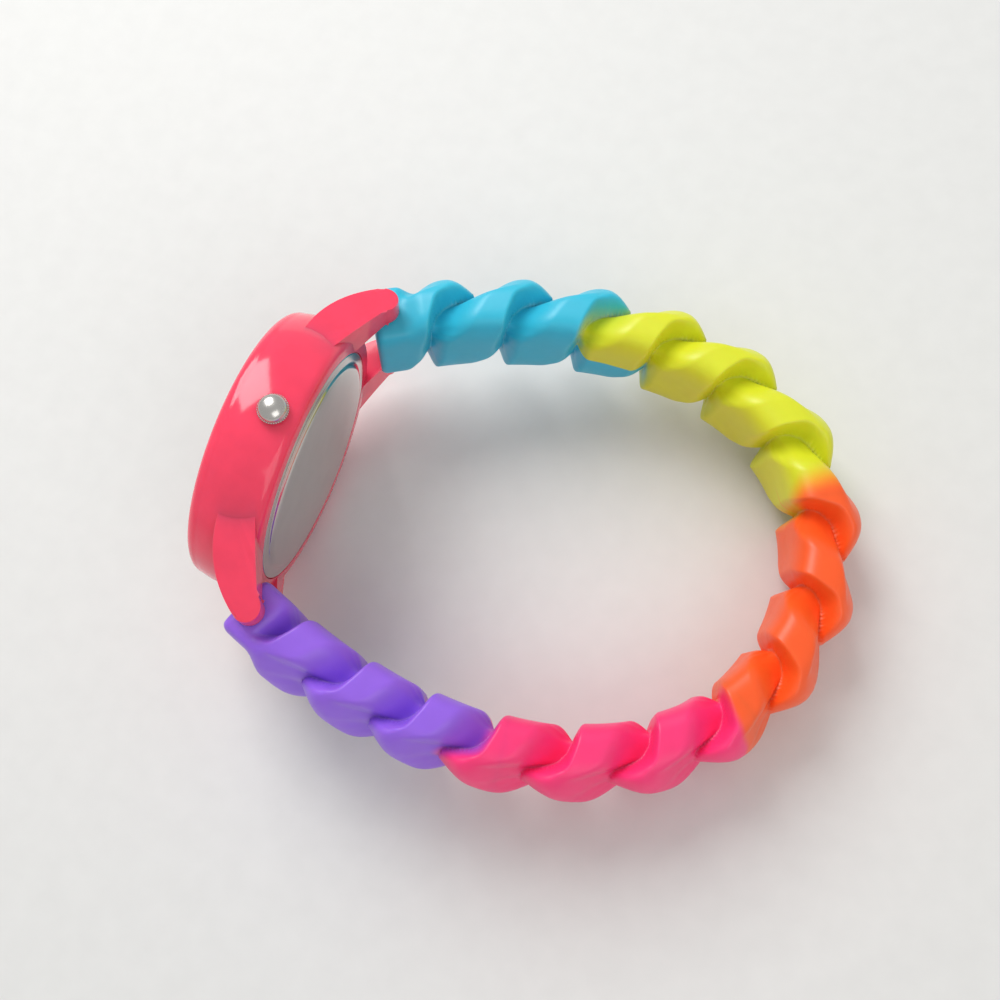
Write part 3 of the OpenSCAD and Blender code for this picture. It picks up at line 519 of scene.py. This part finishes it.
def skin_reach(tree, given, facing, cut, tilt, from_end):
    """How far the skin lies from the middle line: links, with a plain block between the lugs at each end."""
    inner = smooth_step(tree, facing[0], *INNER_COMES)
    half_out = mix(tree, inner, given["Outer side"], given["Inner side"])
    power = calc(tree, "MULTIPLY_ADD", inner, INNER_POWER - OUTER_POWER, OUTER_POWER)
    whole = oval_reach(tree, facing, half_out, given["Half width"], power)
    link = calc(tree, "ADD", calc(tree, "SUBTRACT", whole, cut), tilt)
    block_out = mix(tree, inner, given["Block outer side"], given["Inner side"])
    block = oval_reach(tree, facing, block_out, given["Block width"], BLOCK_POWER)
    linked = smooth_step(tree, from_end, *(length * MM for length in LINKS_COME))
    return mix(tree, linked, block, link)


def closed_reach(tree, reach, from_end):
    """The reach with both ends rounded and closed."""
    near = rest_of(tree, calc(tree, "MINIMUM", calc(tree, "DIVIDE", from_end, END_ROUND * MM), 1.0))
    across = calc(tree, "MAXIMUM", rest_of(tree, calc(tree, "MULTIPLY", near, near)), 0.0)
    inset = calc(tree, "MULTIPLY", rest_of(tree, calc(tree, "SQRT", across)), END_ROUND * MM)
    off_end = calc(tree, "GREATER_THAN", from_end, AT_END * MM)
    return calc(tree, "MULTIPLY", calc(tree, "SUBTRACT", reach, inset), off_end)


def bent_place(tree, given, along, facing, reach):
    """The place of each point of the skin on the strap's path, past whose ends it goes straight on."""
    on_path = calc(tree, "MINIMUM", calc(tree, "MAXIMUM", along, 0.0), given["Strap length"])
    path = add(tree, "GeometryNodeObjectInfo", {"Object": given["Path"]}, transform_space="RELATIVE")
    sample = add(tree, "GeometryNodeSampleCurve", {
        "Curves": path.outputs["Geometry"], "Length": on_path}, mode="LENGTH").outputs
    upward = given["Crown axis"]
    outward = add(tree, "ShaderNodeVectorMath", {0: upward, 1: sample["Tangent"]},
                  operation="CROSS_PRODUCT").outputs[0]
    place = sample["Position"]
    for way, amount in ((sample["Tangent"], calc(tree, "SUBTRACT", along, on_path)),
                        (outward, calc(tree, "MULTIPLY", calc(tree, "MULTIPLY", facing[0], -1.0), reach)),
                        (upward, calc(tree, "MULTIPLY", facing[1], reach))):
        moved = add(tree, "ShaderNodeVectorMath", {0: way, "Scale": amount}, operation="SCALE").outputs[0]
        place = add(tree, "ShaderNodeVectorMath", {0: place, 1: moved}, operation="ADD").outputs[0]
    return place


def links_tree():
    """The strap's skin: a row of twisted links with a plain block at each end, bent round the wrist."""
    tree, given = new_tree("strap_links", (
        ("Rows", "Int"), ("Columns", "Int"), ("Start", "Float"), ("Span", "Float"),
        ("Strap length", "Float"), ("Link length", "Float"),
        ("Inner side", "Float"), ("Outer side", "Float"), ("Half width", "Float"),
        ("Block width", "Float"), ("Block outer side", "Float"), ("Groove", "Float"), ("Tilt", "Float"),
        ("Path", "Object"), ("Crown axis", "Vector"), ("Material", "Material"),
    ))
    skin = add(tree, "GeometryNodeMeshGrid", {
        "Size X": 1.0, "Size Y": 1.0, "Vertices X": given["Rows"], "Vertices Y": given["Columns"]}).outputs[0]
    spot = point_place(tree)
    along = calc(tree, "MULTIPLY_ADD", calc(tree, "ADD", spot[0], 0.5), given["Span"], given["Start"])
    turn = calc(tree, "ADD", spot[1], 0.5)
    angle = calc(tree, "MULTIPLY", turn, 2 * math.pi)
    facing = calc(tree, "COSINE", angle), calc(tree, "SINE", angle)
    # A groove runs round the strap once for each link
    lead = curve_of(tree, turn, mirrored(GROOVE_LEAD, True))
    count = link_count(tree, given, along)
    share = calc(tree, "FRACT", calc(tree, "SUBTRACT", count, lead))
    cut = groove_cut(tree, given, turn, share)
    sloped = calc(tree, "MULTIPLY", facing[1], calc(tree, "SUBTRACT", share, 0.5))
    tilt = calc(tree, "MULTIPLY", sloped, given["Tilt"])
    end = calc(tree, "ADD", given["Start"], given["Span"])
    from_end = calc(tree, "MINIMUM", calc(tree, "SUBTRACT", along, given["Start"]),
                    calc(tree, "SUBTRACT", end, along))
    reach = closed_reach(tree, skin_reach(tree, given, facing, cut, tilt, from_end), from_end)
    for label, value in zip(SPOTS, (along, turn, lead, count)):
        skin = add(tree, "GeometryNodeStoreNamedAttribute", {"Geometry": skin, "Name": label, "Value": value},
                   data_type="FLOAT", domain="POINT").outputs[0]
    bent = add(tree, "GeometryNodeSetPosition", {
        "Geometry": skin, "Position": bent_place(tree, given, along, facing, reach)})
    closed = add(tree, "GeometryNodeMergeByDistance", {
        "Geometry": bent.outputs[0], "Distance": MERGED * MM})
    end_tree(tree, closed.outputs[0], given["Material"])
    return tree


def strap_shades(along, turn, lead, count, settings):
    """The colour of each strap point."""
    colours = [np.array(linear(getattr(settings, name))) for name in PIECES]
    shades = np.tile(colours[0], (len(along), 1))
    upper = np.clip((turn - UPPER_STARTS[0]) / UPPER_STARTS[1], 0, 1)
    upper *= np.clip((UPPER_ENDS[0] - turn) / UPPER_ENDS[1], 0, 1)
    for step, (groove, follow, shift, soft) in enumerate(BORDERS):
        past = (count - groove - follow * lead) * LINK_PITCH - shift * upper
        past += WAVER * np.sin(WAVER_TURNS * turn + groove)
        share = np.clip(past / soft + 0.5, 0, 1)
        share = (share * share * (3 - 2 * share))[:, None]
        shades = shades * (1 - share) + colours[step + 1] * share
    return shades


class WatchStrapSettings(bpy.types.PropertyGroup):
    """Sizes and colours of the strap"""

    half_width: number_setting("Half Width", "Half width of the strap, in mm", 6.6, 5.0, 7.0)
    inner: number_setting("Inner Side", "Half thickness on the inner side, in mm", 3.9, 2.0, 4.5)
    outer: number_setting("Outer Side", "Half thickness on the outer side, in mm", 4.5, 2.0, 4.5)
    groove: number_setting("Groove", "Depth of the groove between two links, in mm", 3.0, 0.0, 3.0)
    tilt: number_setting("Tilt", "How far each link rises over the next, in mm", 0.6, 0.0, 1.5)
    rows: bpy.props.IntProperty(
        name="Rows", description="Rows of the mesh to each link", default=60, min=12, max=96)
    columns: bpy.props.IntProperty(
        name="Columns", description="Columns of the mesh round the strap", default=200, min=40, max=320)
    blue: colour_setting("Blue", "Colour of the first links", (0.19, 0.73, 0.84))
    yellow: colour_setting("Yellow", "Colour of the second links", (0.85, 0.87, 0.15))
    orange: colour_setting("Orange", "Colour of the links at the far end", (0.98, 0.36, 0.12))
    pink: colour_setting("Pink", "Colour of the fourth links", (0.98, 0.20, 0.47))
    purple: colour_setting("Purple", "Colour of the last links", (0.58, 0.38, 0.88))


class WATCH_OT_strap(bpy.types.Operator):
    """Make the stretch strap of twisted links in five colours"""

    bl_idname = "watch.strap"
    bl_label = "Strap"

    def execute(self, context):
        settings = context.scene.watch_strap
        length = LOOP_LENGTH * MM
        pitch = LINK_PITCH * MM
        materials = [silicone("silicone_" + name) for name in PIECES]
        cuts = [FIRST_GROOVE * MM + (border[0] + CUT_LEAD) * pitch for border in BORDERS]
        # A row of the mesh lies on each cut
        step = pitch / settings.rows
        start = cuts[0] - math.ceil((cuts[0] + BLOCK_PAST * MM) / step) * step
        rows = math.ceil((length + BLOCK_PAST * MM - start) / step)
        guide = strap_path()
        mesh = run_tree("strap_loop", links_tree(), {
            "Rows": rows + 1, "Columns": settings.columns + 1,
            "Start": start, "Span": rows * step, "Strap length": length, "Link length": pitch,
            "Inner side": settings.inner * MM, "Outer side": settings.outer * MM,
            "Half width": settings.half_width * MM,
            "Block width": BLOCK_HALF * MM, "Block outer side": BLOCK_OUTER * MM,
            "Groove": settings.groove * MM, "Tilt": settings.tilt * MM,
            "Path": guide, "Crown axis": CROWN_WAY.tolist(), "Material": materials[0]})
        bpy.data.batch_remove((guide, guide.data))
        tidy_mesh(mesh, sharp=180.0)
        self.cut_pieces(mesh, cuts, materials, settings)
        return {"FINISHED"}

    def cut_pieces(self, mesh, cuts, materials, settings):
        places = read(mesh.vertices, "co", 3)
        normals = read(mesh.vertex_normals, "vector", 3)
        spots = [read(mesh.attributes[label].data, "value", 1).ravel() for label in SPOTS]
        shades = strap_shades(*spots, settings)
        faces = [tuple(face.vertices) for face in mesh.polygons]
        middles = np.array([spots[0][list(face)].mean() for face in faces])
        section = np.searchsorted(np.array(cuts), middles)
        bpy.data.meshes.remove(mesh)
        for number, name in enumerate(PIECES):
            chosen = [faces[i] for i in np.flatnonzero(section == number)]
            used = np.unique(np.concatenate([np.array(face) for face in chosen]))
            place_of = np.full(len(places), -1)
            place_of[used] = np.arange(len(used))
            part = bpy.data.meshes.new("strap_links_" + name)
            part.from_pydata([tuple(p) for p in places[used]], [], [tuple(place_of[list(f)]) for f in chosen])
            close_holes(part)
            shade = part.attributes.new("shade", "FLOAT_COLOR", "POINT")
            shade.data.foreach_set("color", np.c_[shades[used], np.ones(len(used))].ravel())
            part.shade_smooth()
            part.normals_split_custom_set_from_vertices([tuple(n) for n in normals[used]])
            part.materials.append(materials[number])
            piece = add_object("strap_links_" + name, part)
            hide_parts("strap_" + name)
            if name in STRETCH:
                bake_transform(piece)
            else:
                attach(piece, "strap_far_end" if name == "orange" else "watch_case")


# Case

# Outside of the barrel: radii, then heights above the back's rim
FOOT_R = 15.6
RIM_R = 16.6
WAIST_R = 17.0
FOOT_CORNER = (16.3, 0.1)
WAIST_FROM = 0.9
WAIST_PEAK = 4.5
WAIST_TO = 7.3
FRONT_ROUND = 1.3
# Inside of the barrel, from the front: the crystal's seat, the window, the movement's room, and the seats of
# the gasket and the back
SEAT_R = 14.32
SEAT_CHAMFER = (14.45, 8.5)
SEAT_TOP = 8.38
CRYSTAL_Z = 7.15
WINDOW_R = 12.8
DIAL_Z = 5.2
ROOM_R = 13.4
ROOM_Z = 2.0
GASKET_R = 14.15
BACK_SEAT_R = 14.45
BACK_T = 0.5
# Crystal
CRYSTAL_R = 14.3
CRYSTAL_T = 1.2
CRYSTAL_ROUND = 0.3
CRYSTAL_CHAMFER = (0.2, 0.15)
# Lugs: inner side, thickness and spread, then the curves of the outline from the barrel to the round tip
LUG_HALF_GAP = 6.0
LUG_T = 2.4
LUG_SPREAD = 0.4224
LUG_TIP = 1.7
LUG_TIP_ARC = (25, -150)
LUG_TOP = ((8.5, 4.7), (16.4, 6.0))
LUG_UNDER = ((8.5, 1.5), (11.4, 0.9))
# Where the inner and the outer side of a lug start, out from the middle of the case
LUG_INNER_ROOT = 13.42
LUG_OUTER_ROOT = 8.5
# Steps of the fine curve, and of the part of it that is kept
FINE_STEPS = 600
LUG_STEPS = 24
# Steps round the turned pieces, and the sharpest smooth edge of the case in degrees
CASE_STEPS = 224
CRYSTAL_STEPS = 160
CROWN_STEPS = 96
CASE_SHARP = 38.0


class WatchCaseSettings(bpy.types.PropertyGroup):
    """Colours of the case, the steel and the print"""

    coral: colour_setting("Coral", "Colour of the case", (0.95, 0.25, 0.375))
    steel: colour_setting("Steel", "Colour of the back and crown", (0.80, 0.79, 0.77))
    print_ink: colour_setting("Print", "Colour of the numbers and marks", (0.07, 0.07, 0.09))
    lug_round: number_setting("Lug Rounding", "Rounding of the lugs' edges, in mm", 0.45, 0.1, 0.8)


def later_part(points, first):
    """The points of a fine bend that lie further out than first, thinned to the lug's steps."""
    kept = [point for point in points if point[0] >= first - 1e-6]
    return [kept[round(i * (len(kept) - 1) / LUG_STEPS)] for i in range(LUG_STEPS + 1)]


def lug_points(root_y):
    """Outline of one lug, from root_y on, seen along the spring bar: y away from the case centre, z up."""
    around = arc(BAR_Y, -BAR_DROP, LUG_TIP, *LUG_TIP_ARC, steps=20)
    top = later_part(bend(*LUG_TOP, around[0], FINE_STEPS), root_y)
    under = later_part(bend(*LUG_UNDER, around[-1], FINE_STEPS), root_y)
    return top + around[1:-1] + under[::-1]


def barrel_profile():
    """The barrel's (radius, height) from the back's seat round the outside and down the inside."""
    profile = [(BACK_SEAT_R, 0.0)] + bend((FOOT_R, 0.0), FOOT_CORNER, (RIM_R, WAIST_FROM), steps=10)
    waist = (2 * WAIST_R - RIM_R, WAIST_PEAK)
    profile += bend((RIM_R, WAIST_FROM), waist, (RIM_R, WAIST_TO), steps=24)[1:]
    profile += arc(RIM_R - FRONT_ROUND, WAIST_TO, FRONT_ROUND, 0, 90, steps=14)[1:]
    return profile + [
        SEAT_CHAMFER, (SEAT_R, SEAT_TOP), (SEAT_R, CRYSTAL_Z), (WINDOW_R, CRYSTAL_Z), (WINDOW_R, DIAL_Z),
        (ROOM_R, DIAL_Z), (ROOM_R, ROOM_Z), (GASKET_R, ROOM_Z), (GASKET_R, BACK_T), (BACK_SEAT_R, BACK_T)]


def crystal_profile():
    across, up = CRYSTAL_CHAMFER
    top = CRYSTAL_Z + CRYSTAL_T
    edge = arc(CRYSTAL_R - CRYSTAL_ROUND, top - CRYSTAL_ROUND, CRYSTAL_ROUND, 0, 90, steps=6)
    return [(0, CRYSTAL_Z), (CRYSTAL_R - across, CRYSTAL_Z), (CRYSTAL_R, CRYSTAL_Z + up)] + edge + [(0, top)]


class WATCH_OT_case(bpy.types.Operator):
    """Make the case, with its four lugs, and the crystal"""

    bl_idname = "watch.case"
    bl_label = "Case"

    def execute(self, context):
        settings = context.scene.watch_case
        coral = finish(
            "case_coral", settings.coral, rough=(0.09, 0.16), vary=0.05, grain=CASE_GRAIN, glow=0.3)
        barrel = mesh_from("barrel", *turned_points(barrel_profile(), CASE_STEPS), coral, CASE_SHARP)
        work = bmesh.new()
        work.from_mesh(barrel)
        for side in (-1, 1):
            for end in (-1, 1):
                self.add_lug(work, side, end, settings.lug_round * MM)
        work.to_mesh(barrel)
        work.free()
        barrel.shade_smooth()
        barrel.set_sharp_from_angle(angle=math.radians(CASE_SHARP))
        shell = add_object("case_shell", barrel)
        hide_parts("case")
        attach(shell, "watch_case")
        clear = clear_plastic("clear_crystal")
        pane = add_object("crystal_pane", mesh_from(
            "crystal_pane", *turned_points(crystal_profile(), CRYSTAL_STEPS), clear, sharp=30.0))
        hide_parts("crystal")
        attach(pane, "watch_case")
        return {"FINISHED"}

    def add_lug(self, work, side, end, edge_round):
        new = bmesh.new()
        near = [(LUG_HALF_GAP * side, y * end, z) for y, z in lug_points(LUG_INNER_ROOT)]
        far = [((LUG_HALF_GAP + LUG_T + LUG_SPREAD * (BAR_Y + LUG_TIP - y)) * side, y * end, z)
               for y, z in lug_points(LUG_OUTER_ROOT)]
        verts = [new.verts.new(p) for p in laid(near + far)]
        count = len(near)
        caps = [new.faces.new(verts[:count]), new.faces.new(list(reversed(verts[count:])))]
        for i in range(count):
            k = (i + 1) % count
            new.faces.new((verts[i], verts[count + i], verts[count + k], verts[k]))
        edges = [e for cap in caps for e in cap.edges]
        bmesh.ops.bevel(new, geom=edges, offset=edge_round, segments=5, profile=0.5, affect="EDGES",
                        clamp_overlap=True)
        bmesh.ops.recalc_face_normals(new, faces=new.faces)
        part = bpy.data.meshes.new("lug")
        new.to_mesh(part)
        new.free()
        work.from_mesh(part)
        bpy.data.meshes.remove(part)


# Steel

# Steel back: the rings of its flat middle, the step up to the rim, the rim, and the skirt that snaps in
FLAT_RINGS = (0, 4, 8, 12.1)
STEP_CORNER = (12.75, -0.38)
STEP = (13.0, -0.1)
RIM_CORNER = (13.1, 0.0)
RIM_FROM = 13.35
BACK_R = 14.4
BACK_ROUND = 0.22
SKIRT_OUT = 14.1
SKIRT_IN = 13.6
SKIRT_TOP = 1.3
UNDER_STEP = ((12.7, 0.5), (12.3, 0.1), (0, 0.1))
# Crown: its underside and axis on the case, its rim, its dome and the ridges round the rim
CROWN_X = 17.25
CROWN_Z = 2.9
CROWN_RIM = ((0, 0.0), (1.55, 0.0), (1.62, 0.06), (1.62, 0.5), (1.6, 0.54))
DOME_R = 1.6
DOME_FROM = 0.56
DOME_FLAT = 0.7
KNURLS = {"Count": 40, "Radius": 1.63, "Ridge": 0.13, "Length": 0.54}
KNURL_MIDDLE = 0.28


def knurl_tree():
    """Ridges set round the crown's rim."""
    tree, given = new_tree("crown_knurls", (
        ("Count", "Int"), ("Radius", "Float"), ("Ridge", "Float"), ("Length", "Float"),
        ("Material", "Material"),
    ))
    ring = add(tree, "GeometryNodeMeshCircle", {"Vertices": given["Count"], "Radius": given["Radius"]})
    ridge = add(tree, "GeometryNodeMeshUVSphere", {"Segments": 10, "Rings": 8, "Radius": given["Ridge"]})
    stretch = calc(tree, "DIVIDE", given["Length"], calc(tree, "MULTIPLY", given["Ridge"], 2.0))
    tall = add(tree, "GeometryNodeTransform", {
        "Geometry": ridge.outputs["Mesh"], "Scale": vector(tree, 1.0, 1.0, stretch)})
    ridges = add(tree, "GeometryNodeInstanceOnPoints", {
        "Points": ring.outputs[0], "Instance": tall.outputs[0]})
    real = add(tree, "GeometryNodeRealizeInstances", {"Geometry": ridges.outputs[0]})
    end_tree(tree, real.outputs[0], given["Material"])
    return tree


def back_profile():
    """The steel back's (radius, height), from the middle of the outer face to that of the inner face."""
    flat = [(r, -BACK_DISH) for r in FLAT_RINGS]
    profile = flat + bend(flat[-1], STEP_CORNER, STEP, steps=8)[1:]
    profile += bend(STEP, RIM_CORNER, (RIM_FROM, 0.0), steps=5)[1:] + [(SKIRT_OUT, 0.0)]
    profile += arc(BACK_R - BACK_ROUND, BACK_ROUND, BACK_ROUND, -90, 0, steps=8)
    return profile + [
        (BACK_R, BACK_T), (SKIRT_OUT, BACK_T), (SKIRT_OUT, SKIRT_TOP), (SKIRT_IN, SKIRT_TOP),
        (SKIRT_IN, BACK_T), *UNDER_STEP]


def crown_profile():
    dome = [(r, DOME_FROM + DOME_FLAT * h) for r, h in arc(0, 0, DOME_R, 0, 90, steps=20)[:-1]]
    return [*CROWN_RIM, *dome, (0, DOME_FROM + DOME_FLAT * DOME_R)]


class WATCH_OT_steel(bpy.types.Operator):
    """Make the pressed steel back and the knurled crown"""

    bl_idname = "watch.steel"
    bl_label = "Steel Back and Crown"

    def execute(self, context):
        settings = context.scene.watch_case
        polished = finish(
            "steel_back", settings.steel, rough=(0.10, 0.20), metal=1.0, vary=0.04, grain=BACK_GRAIN)
        cover = add_object("back_cover", mesh_from(
            "back_cover", *turned_points(back_profile(), CASE_STEPS), polished, sharp=35.0))
        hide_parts("case_back")
        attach(cover, "watch_case")
        bright = finish(
            "crown_steel", settings.steel, rough=(0.22, 0.3), metal=1.0, vary=0.04, grain=CROWN_GRAIN)
        points, faces = turned_points(crown_profile(), CROWN_STEPS)
        ridges = run_tree("crown_knurls", knurl_tree(), {**KNURLS, "Material": bright})
        start = len(points)
        points += [(v.co.x, v.co.y, v.co.z + KNURL_MIDDLE) for v in ridges.vertices]
        faces += [tuple(start + i for i in face.vertices) for face in ridges.polygons]
        bpy.data.meshes.remove(ridges)
        # The crown's own axis points to 3 o'clock
        points = [(CROWN_X + z, y, CROWN_Z - x) for x, y, z in points]
        button = add_object("crown_button", mesh_from("crown_button", points, faces, bright, sharp=45.0))
        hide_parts("crown")
        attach(button, "crown_and_stem")
        return {"FINISHED"}


# Dial

MARKS = {"Count": 60, "Radius": 11.9, "Length": 0.8, "Width": 0.16, "Height": 0.04}
# How much longer and wider each fifth mark is
FIFTH_LONGER = 0.6
FIFTH_WIDER = 1.2
NUMBER_R = 9.3
NUMBER_SIZE = 3.3
NUMBER_HALF_T = 0.02
PRINT_Z = 5.21


def marks_tree():
    """Minute marks set round the dial, each fifth one longer."""
    tree, given = new_tree("dial_marks", (
        ("Count", "Int"), ("Radius", "Float"), ("Length", "Float"), ("Width", "Float"), ("Height", "Float"),
        ("Material", "Material"),
    ))
    ring = add(tree, "GeometryNodeMeshCircle", {"Vertices": given["Count"], "Radius": given["Radius"]})
    bar = add(tree, "GeometryNodeMeshCube", {
        "Size": vector(tree, given["Length"], given["Width"], given["Height"])})
    spot = point_place(tree)
    turn = calc(tree, "ARCTAN2", spot[1], spot[0])
    number = add(tree, "GeometryNodeInputIndex").outputs[0]
    fifth = calc(tree, "COMPARE", calc(tree, "MODULO", number, 5.0), 0.0, 0.1)
    size = vector(tree, calc(tree, "MULTIPLY_ADD", fifth, FIFTH_LONGER, 1.0),
                  calc(tree, "MULTIPLY_ADD", fifth, FIFTH_WIDER, 1.0), 1.0)
    marks = add(tree, "GeometryNodeInstanceOnPoints", {
        "Points": ring.outputs[0], "Instance": bar.outputs[0],
        "Rotation": vector(tree, 0.0, 0.0, turn), "Scale": size})
    real = add(tree, "GeometryNodeRealizeInstances", {"Geometry": marks.outputs[0]})
    end_tree(tree, real.outputs[0], given["Material"])
    return tree


def number_mesh(hour):
    text = bpy.data.curves.new("number", "FONT")
    text.body = str(hour)
    text.size = NUMBER_SIZE
    text.align_x = "CENTER"
    text.align_y = "CENTER"
    text.extrude = NUMBER_HALF_T
    return settle(add_object("number", text))


class WATCH_OT_dial(bpy.types.Operator):
    """Print the dial's numbers and minute marks"""

    bl_idname = "watch.dial"
    bl_label = "Dial"

    def execute(self, context):
        settings = context.scene.watch_case
        ink = finish("hand_black", settings.print_ink, rough=(0.35, 0.5), vary=0.1)
        mesh = run_tree("dial_marks", marks_tree(), {**MARKS, "Material": ink})
        points = [(v.co.x, v.co.y, v.co.z + PRINT_Z) for v in mesh.vertices]
        faces = [tuple(face.vertices) for face in mesh.polygons]
        bpy.data.meshes.remove(mesh)
        self.print_piece("dial_minute_marks", points, faces, ink)
        points, faces = [], []
        for hour in range(1, 13):
            mesh = number_mesh(hour)
            angle = math.radians(90 - 30 * hour)
            heights = [v.co.y for v in mesh.vertices]
            x = NUMBER_R * math.cos(angle)
            y = NUMBER_R * math.sin(angle) - (min(heights) + max(heights)) / 2
            start = len(points)
            points += [(x + v.co.x, y + v.co.y, v.co.z + PRINT_Z) for v in mesh.vertices]
            faces += [tuple(start + i for i in face.vertices) for face in mesh.polygons]
            bpy.data.meshes.remove(mesh)
        self.print_piece("dial_numbers", points, faces, ink)
        return {"FINISHED"}

    def print_piece(self, name, points, faces, ink):
        piece = add_object(name, mesh_from(name, points, faces, ink, sharp=30.0))
        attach(piece, "watch_case")


# Inside

# Finishes of the plain nodes by their material: colour, roughness and metal
INSIDE = {
    "black_rubber": ((0.06, 0.06, 0.06), 0.55, 0.0), "white_plastic": ((0.88, 0.88, 0.85), 0.4, 0.0),
    "dial_white": ((0.95, 0.95, 0.94), 0.45, 0.0), "hand_black": ((0.06, 0.06, 0.07), 0.3, 0.0),
    "hand_red": ((0.80, 0.06, 0.07), 0.3, 0.0), "plain_steel": ((0.72, 0.72, 0.70), 0.25, 1.0),
    "brass_parts": ((0.80, 0.65, 0.35), 0.28, 1.0), "plate_tan": ((0.66, 0.55, 0.38), 0.5, 0.0),
    "cell_steel": ((0.78, 0.78, 0.77), 0.22, 1.0), "board_green": ((0.08, 0.30, 0.16), 0.4, 0.0),
    "chip_black": ((0.05, 0.05, 0.055), 0.4, 0.0), "coil_copper": ((0.75, 0.42, 0.24), 0.32, 1.0),
    "rotor_grey": ((0.36, 0.37, 0.40), 0.35, 1.0),
}
GLOSS_CHANGE = 0.06


class WATCH_OT_inside(bpy.types.Operator):
    """Finish the movement, the spring bars, the dial plate and the hands"""

    bl_idname = "watch.inside"
    bl_label = "Movement and Spring Bars"

    def execute(self, context):
        made = {}
        for name, (colour, rough, metal) in INSIDE.items():
            roughs = (rough - GLOSS_CHANGE, rough + GLOSS_CHANGE)
            made[name] = finish("inside_" + name, colour, rough=roughs, metal=metal, vary=0.07)
        for obj in frame["nodes"].values():
            if obj.hide_render:
                continue
            for slot in obj.material_slots:
                label = slot.material.name.split(".")[0]
                slot.material = made.get(label, slot.material)
        return {"FINISHED"}


# Stage

# Half width of the floor in metres
FLOOR_HALF = 3.0
# Lights: name, place and size in metres, and the setting of their strength
LIGHTS = (
    ("window", (-0.22, 0.20, 0.36), (0.22, 0.30), "key"),
    ("fill", (0.35, -0.25, 0.4), (0.4, 0.4), "fill"),
)
LIGHTS_AIM = (0, 0, 0.01)
# The camera as fitted to the photograph, for the upright watch: its right, up and back, and its place
CAMERA_WAYS = ((0.04380, 0.36098, -0.93154), (0.25855, 0.89658, 0.35959), (0.96501, -0.25660, -0.05406))
CAMERA_PLACE = (138.490, -32.498, -29.744)


class WatchStageSettings(bpy.types.PropertyGroup):
    """Floor and light"""

    floor: colour_setting("Floor", "Colour of the floor", (0.86, 0.86, 0.85))
    key: light_setting("Key Light", "Strength of the window-like light", 1.45)
    fill: light_setting("Fill Light", "Strength of the soft light from the other side", 0.7)
    sky: number_setting("Sky", "Strength of the even light all round", 0.55, 0.0, 2.0)
    lens: number_setting("Lens", "Focal length of the camera, in mm", 43.25, 20.0, 120.0)


def set_place(obj, ways, place):
    """Puts an object at a place, with its right, up and back ways."""
    rows = [[*row, p] for row, p in zip(np.stack(ways, axis=1), place)]
    obj.matrix_world = Matrix(rows + [[0, 0, 0, 1]])


def aim(obj, place, target):
    """Puts an object at a place, looking at the target."""
    back = np.array(place, float) - np.array(target, float)
    back /= np.linalg.norm(back)
    right = np.cross((0, 0, 1), back)
    right /= np.linalg.norm(right)
    set_place(obj, (right, np.cross(back, right), back), place)


class WATCH_OT_stage(bpy.types.Operator):
    """Set the floor, the lights and the camera"""

    bl_idname = "watch.stage"
    bl_label = "Stage"

    def execute(self, context):
        scene = context.scene
        settings = scene.watch_stage
        mesh = bpy.data.meshes.new("floor")
        corners = [(x * FLOOR_HALF, y * FLOOR_HALF, 0) for x, y in ((-1, -1), (1, -1), (1, 1), (-1, 1))]
        mesh.from_pydata(corners, [], [(0, 1, 2, 3)])
        floor = add_object("floor", mesh)
        pale = finish("floor_pale", settings.floor, rough=(0.6, 0.7), vary=0.015, grain=FLOOR_GRAIN)
        mesh.materials.append(pale)
        for name, place, size, strength in LIGHTS:
            lamp = bpy.data.lights.new(name, "AREA")
            lamp.shape = "RECTANGLE"
            lamp.size, lamp.size_y = size
            lamp.energy = getattr(settings, strength)
            aim(add_object(name, lamp), place, LIGHTS_AIM)
        world = bpy.data.worlds.new("studio")
        world.use_nodes = True
        set_inputs(world.node_tree.nodes["Background"], {"Color": (1, 1, 1, 1), "Strength": settings.sky})
        scene.world = world
        scene.view_settings.view_transform = "Standard"
        eye = bpy.data.cameras.new("camera")
        eye.lens = settings.lens
        eye.sensor_width = 36.0
        eye.clip_start = 0.005
        camera = add_object("camera", eye)
        set_place(camera, np.array(CAMERA_WAYS) @ WATCH_AXES, laid(CAMERA_PLACE))
        scene.camera = camera
        return {"FINISHED"}


class WATCH_PT_panel(bpy.types.Panel):
    """The watch's pieces and their settings"""

    bl_idname = "WATCH_PT_panel"
    bl_label = "Wrist Watch"
    bl_space_type = "VIEW_3D"
    bl_region_type = "UI"
    bl_category = "Watch"

    def draw(self, context):
        layout = self.layout
        for operator in OPERATORS:
            layout.operator(operator.bl_idname)
        for group in SETTINGS:
            values = getattr(context.scene, group)
            box = layout.box()
            for name in values.bl_rna.properties.keys():
                if name not in ("rna_type", "name"):
                    box.prop(values, name)


SETTINGS = {
    "watch_strap": WatchStrapSettings, "watch_case": WatchCaseSettings, "watch_stage": WatchStageSettings}
OPERATORS = (WATCH_OT_strap, WATCH_OT_case, WATCH_OT_steel, WATCH_OT_dial, WATCH_OT_inside, WATCH_OT_stage)


def register():
    for kind in (*SETTINGS.values(), *OPERATORS, WATCH_PT_panel):
        bpy.utils.register_class(kind)
    for name, kind in SETTINGS.items():
        setattr(bpy.types.Scene, name, bpy.props.PointerProperty(type=kind))


def unregister():
    for name in SETTINGS:
        delattr(bpy.types.Scene, name)
    for kind in (WATCH_PT_panel, *reversed(OPERATORS), *reversed(list(SETTINGS.values()))):
        bpy.utils.unregister_class(kind)


def main():
    register()
    bpy.ops.watch.strap()
    bpy.ops.watch.case()
    bpy.ops.watch.steel()
    bpy.ops.watch.dial()
    bpy.ops.watch.inside()
    bpy.ops.watch.stage()


if __name__ == "__main__":
    main()
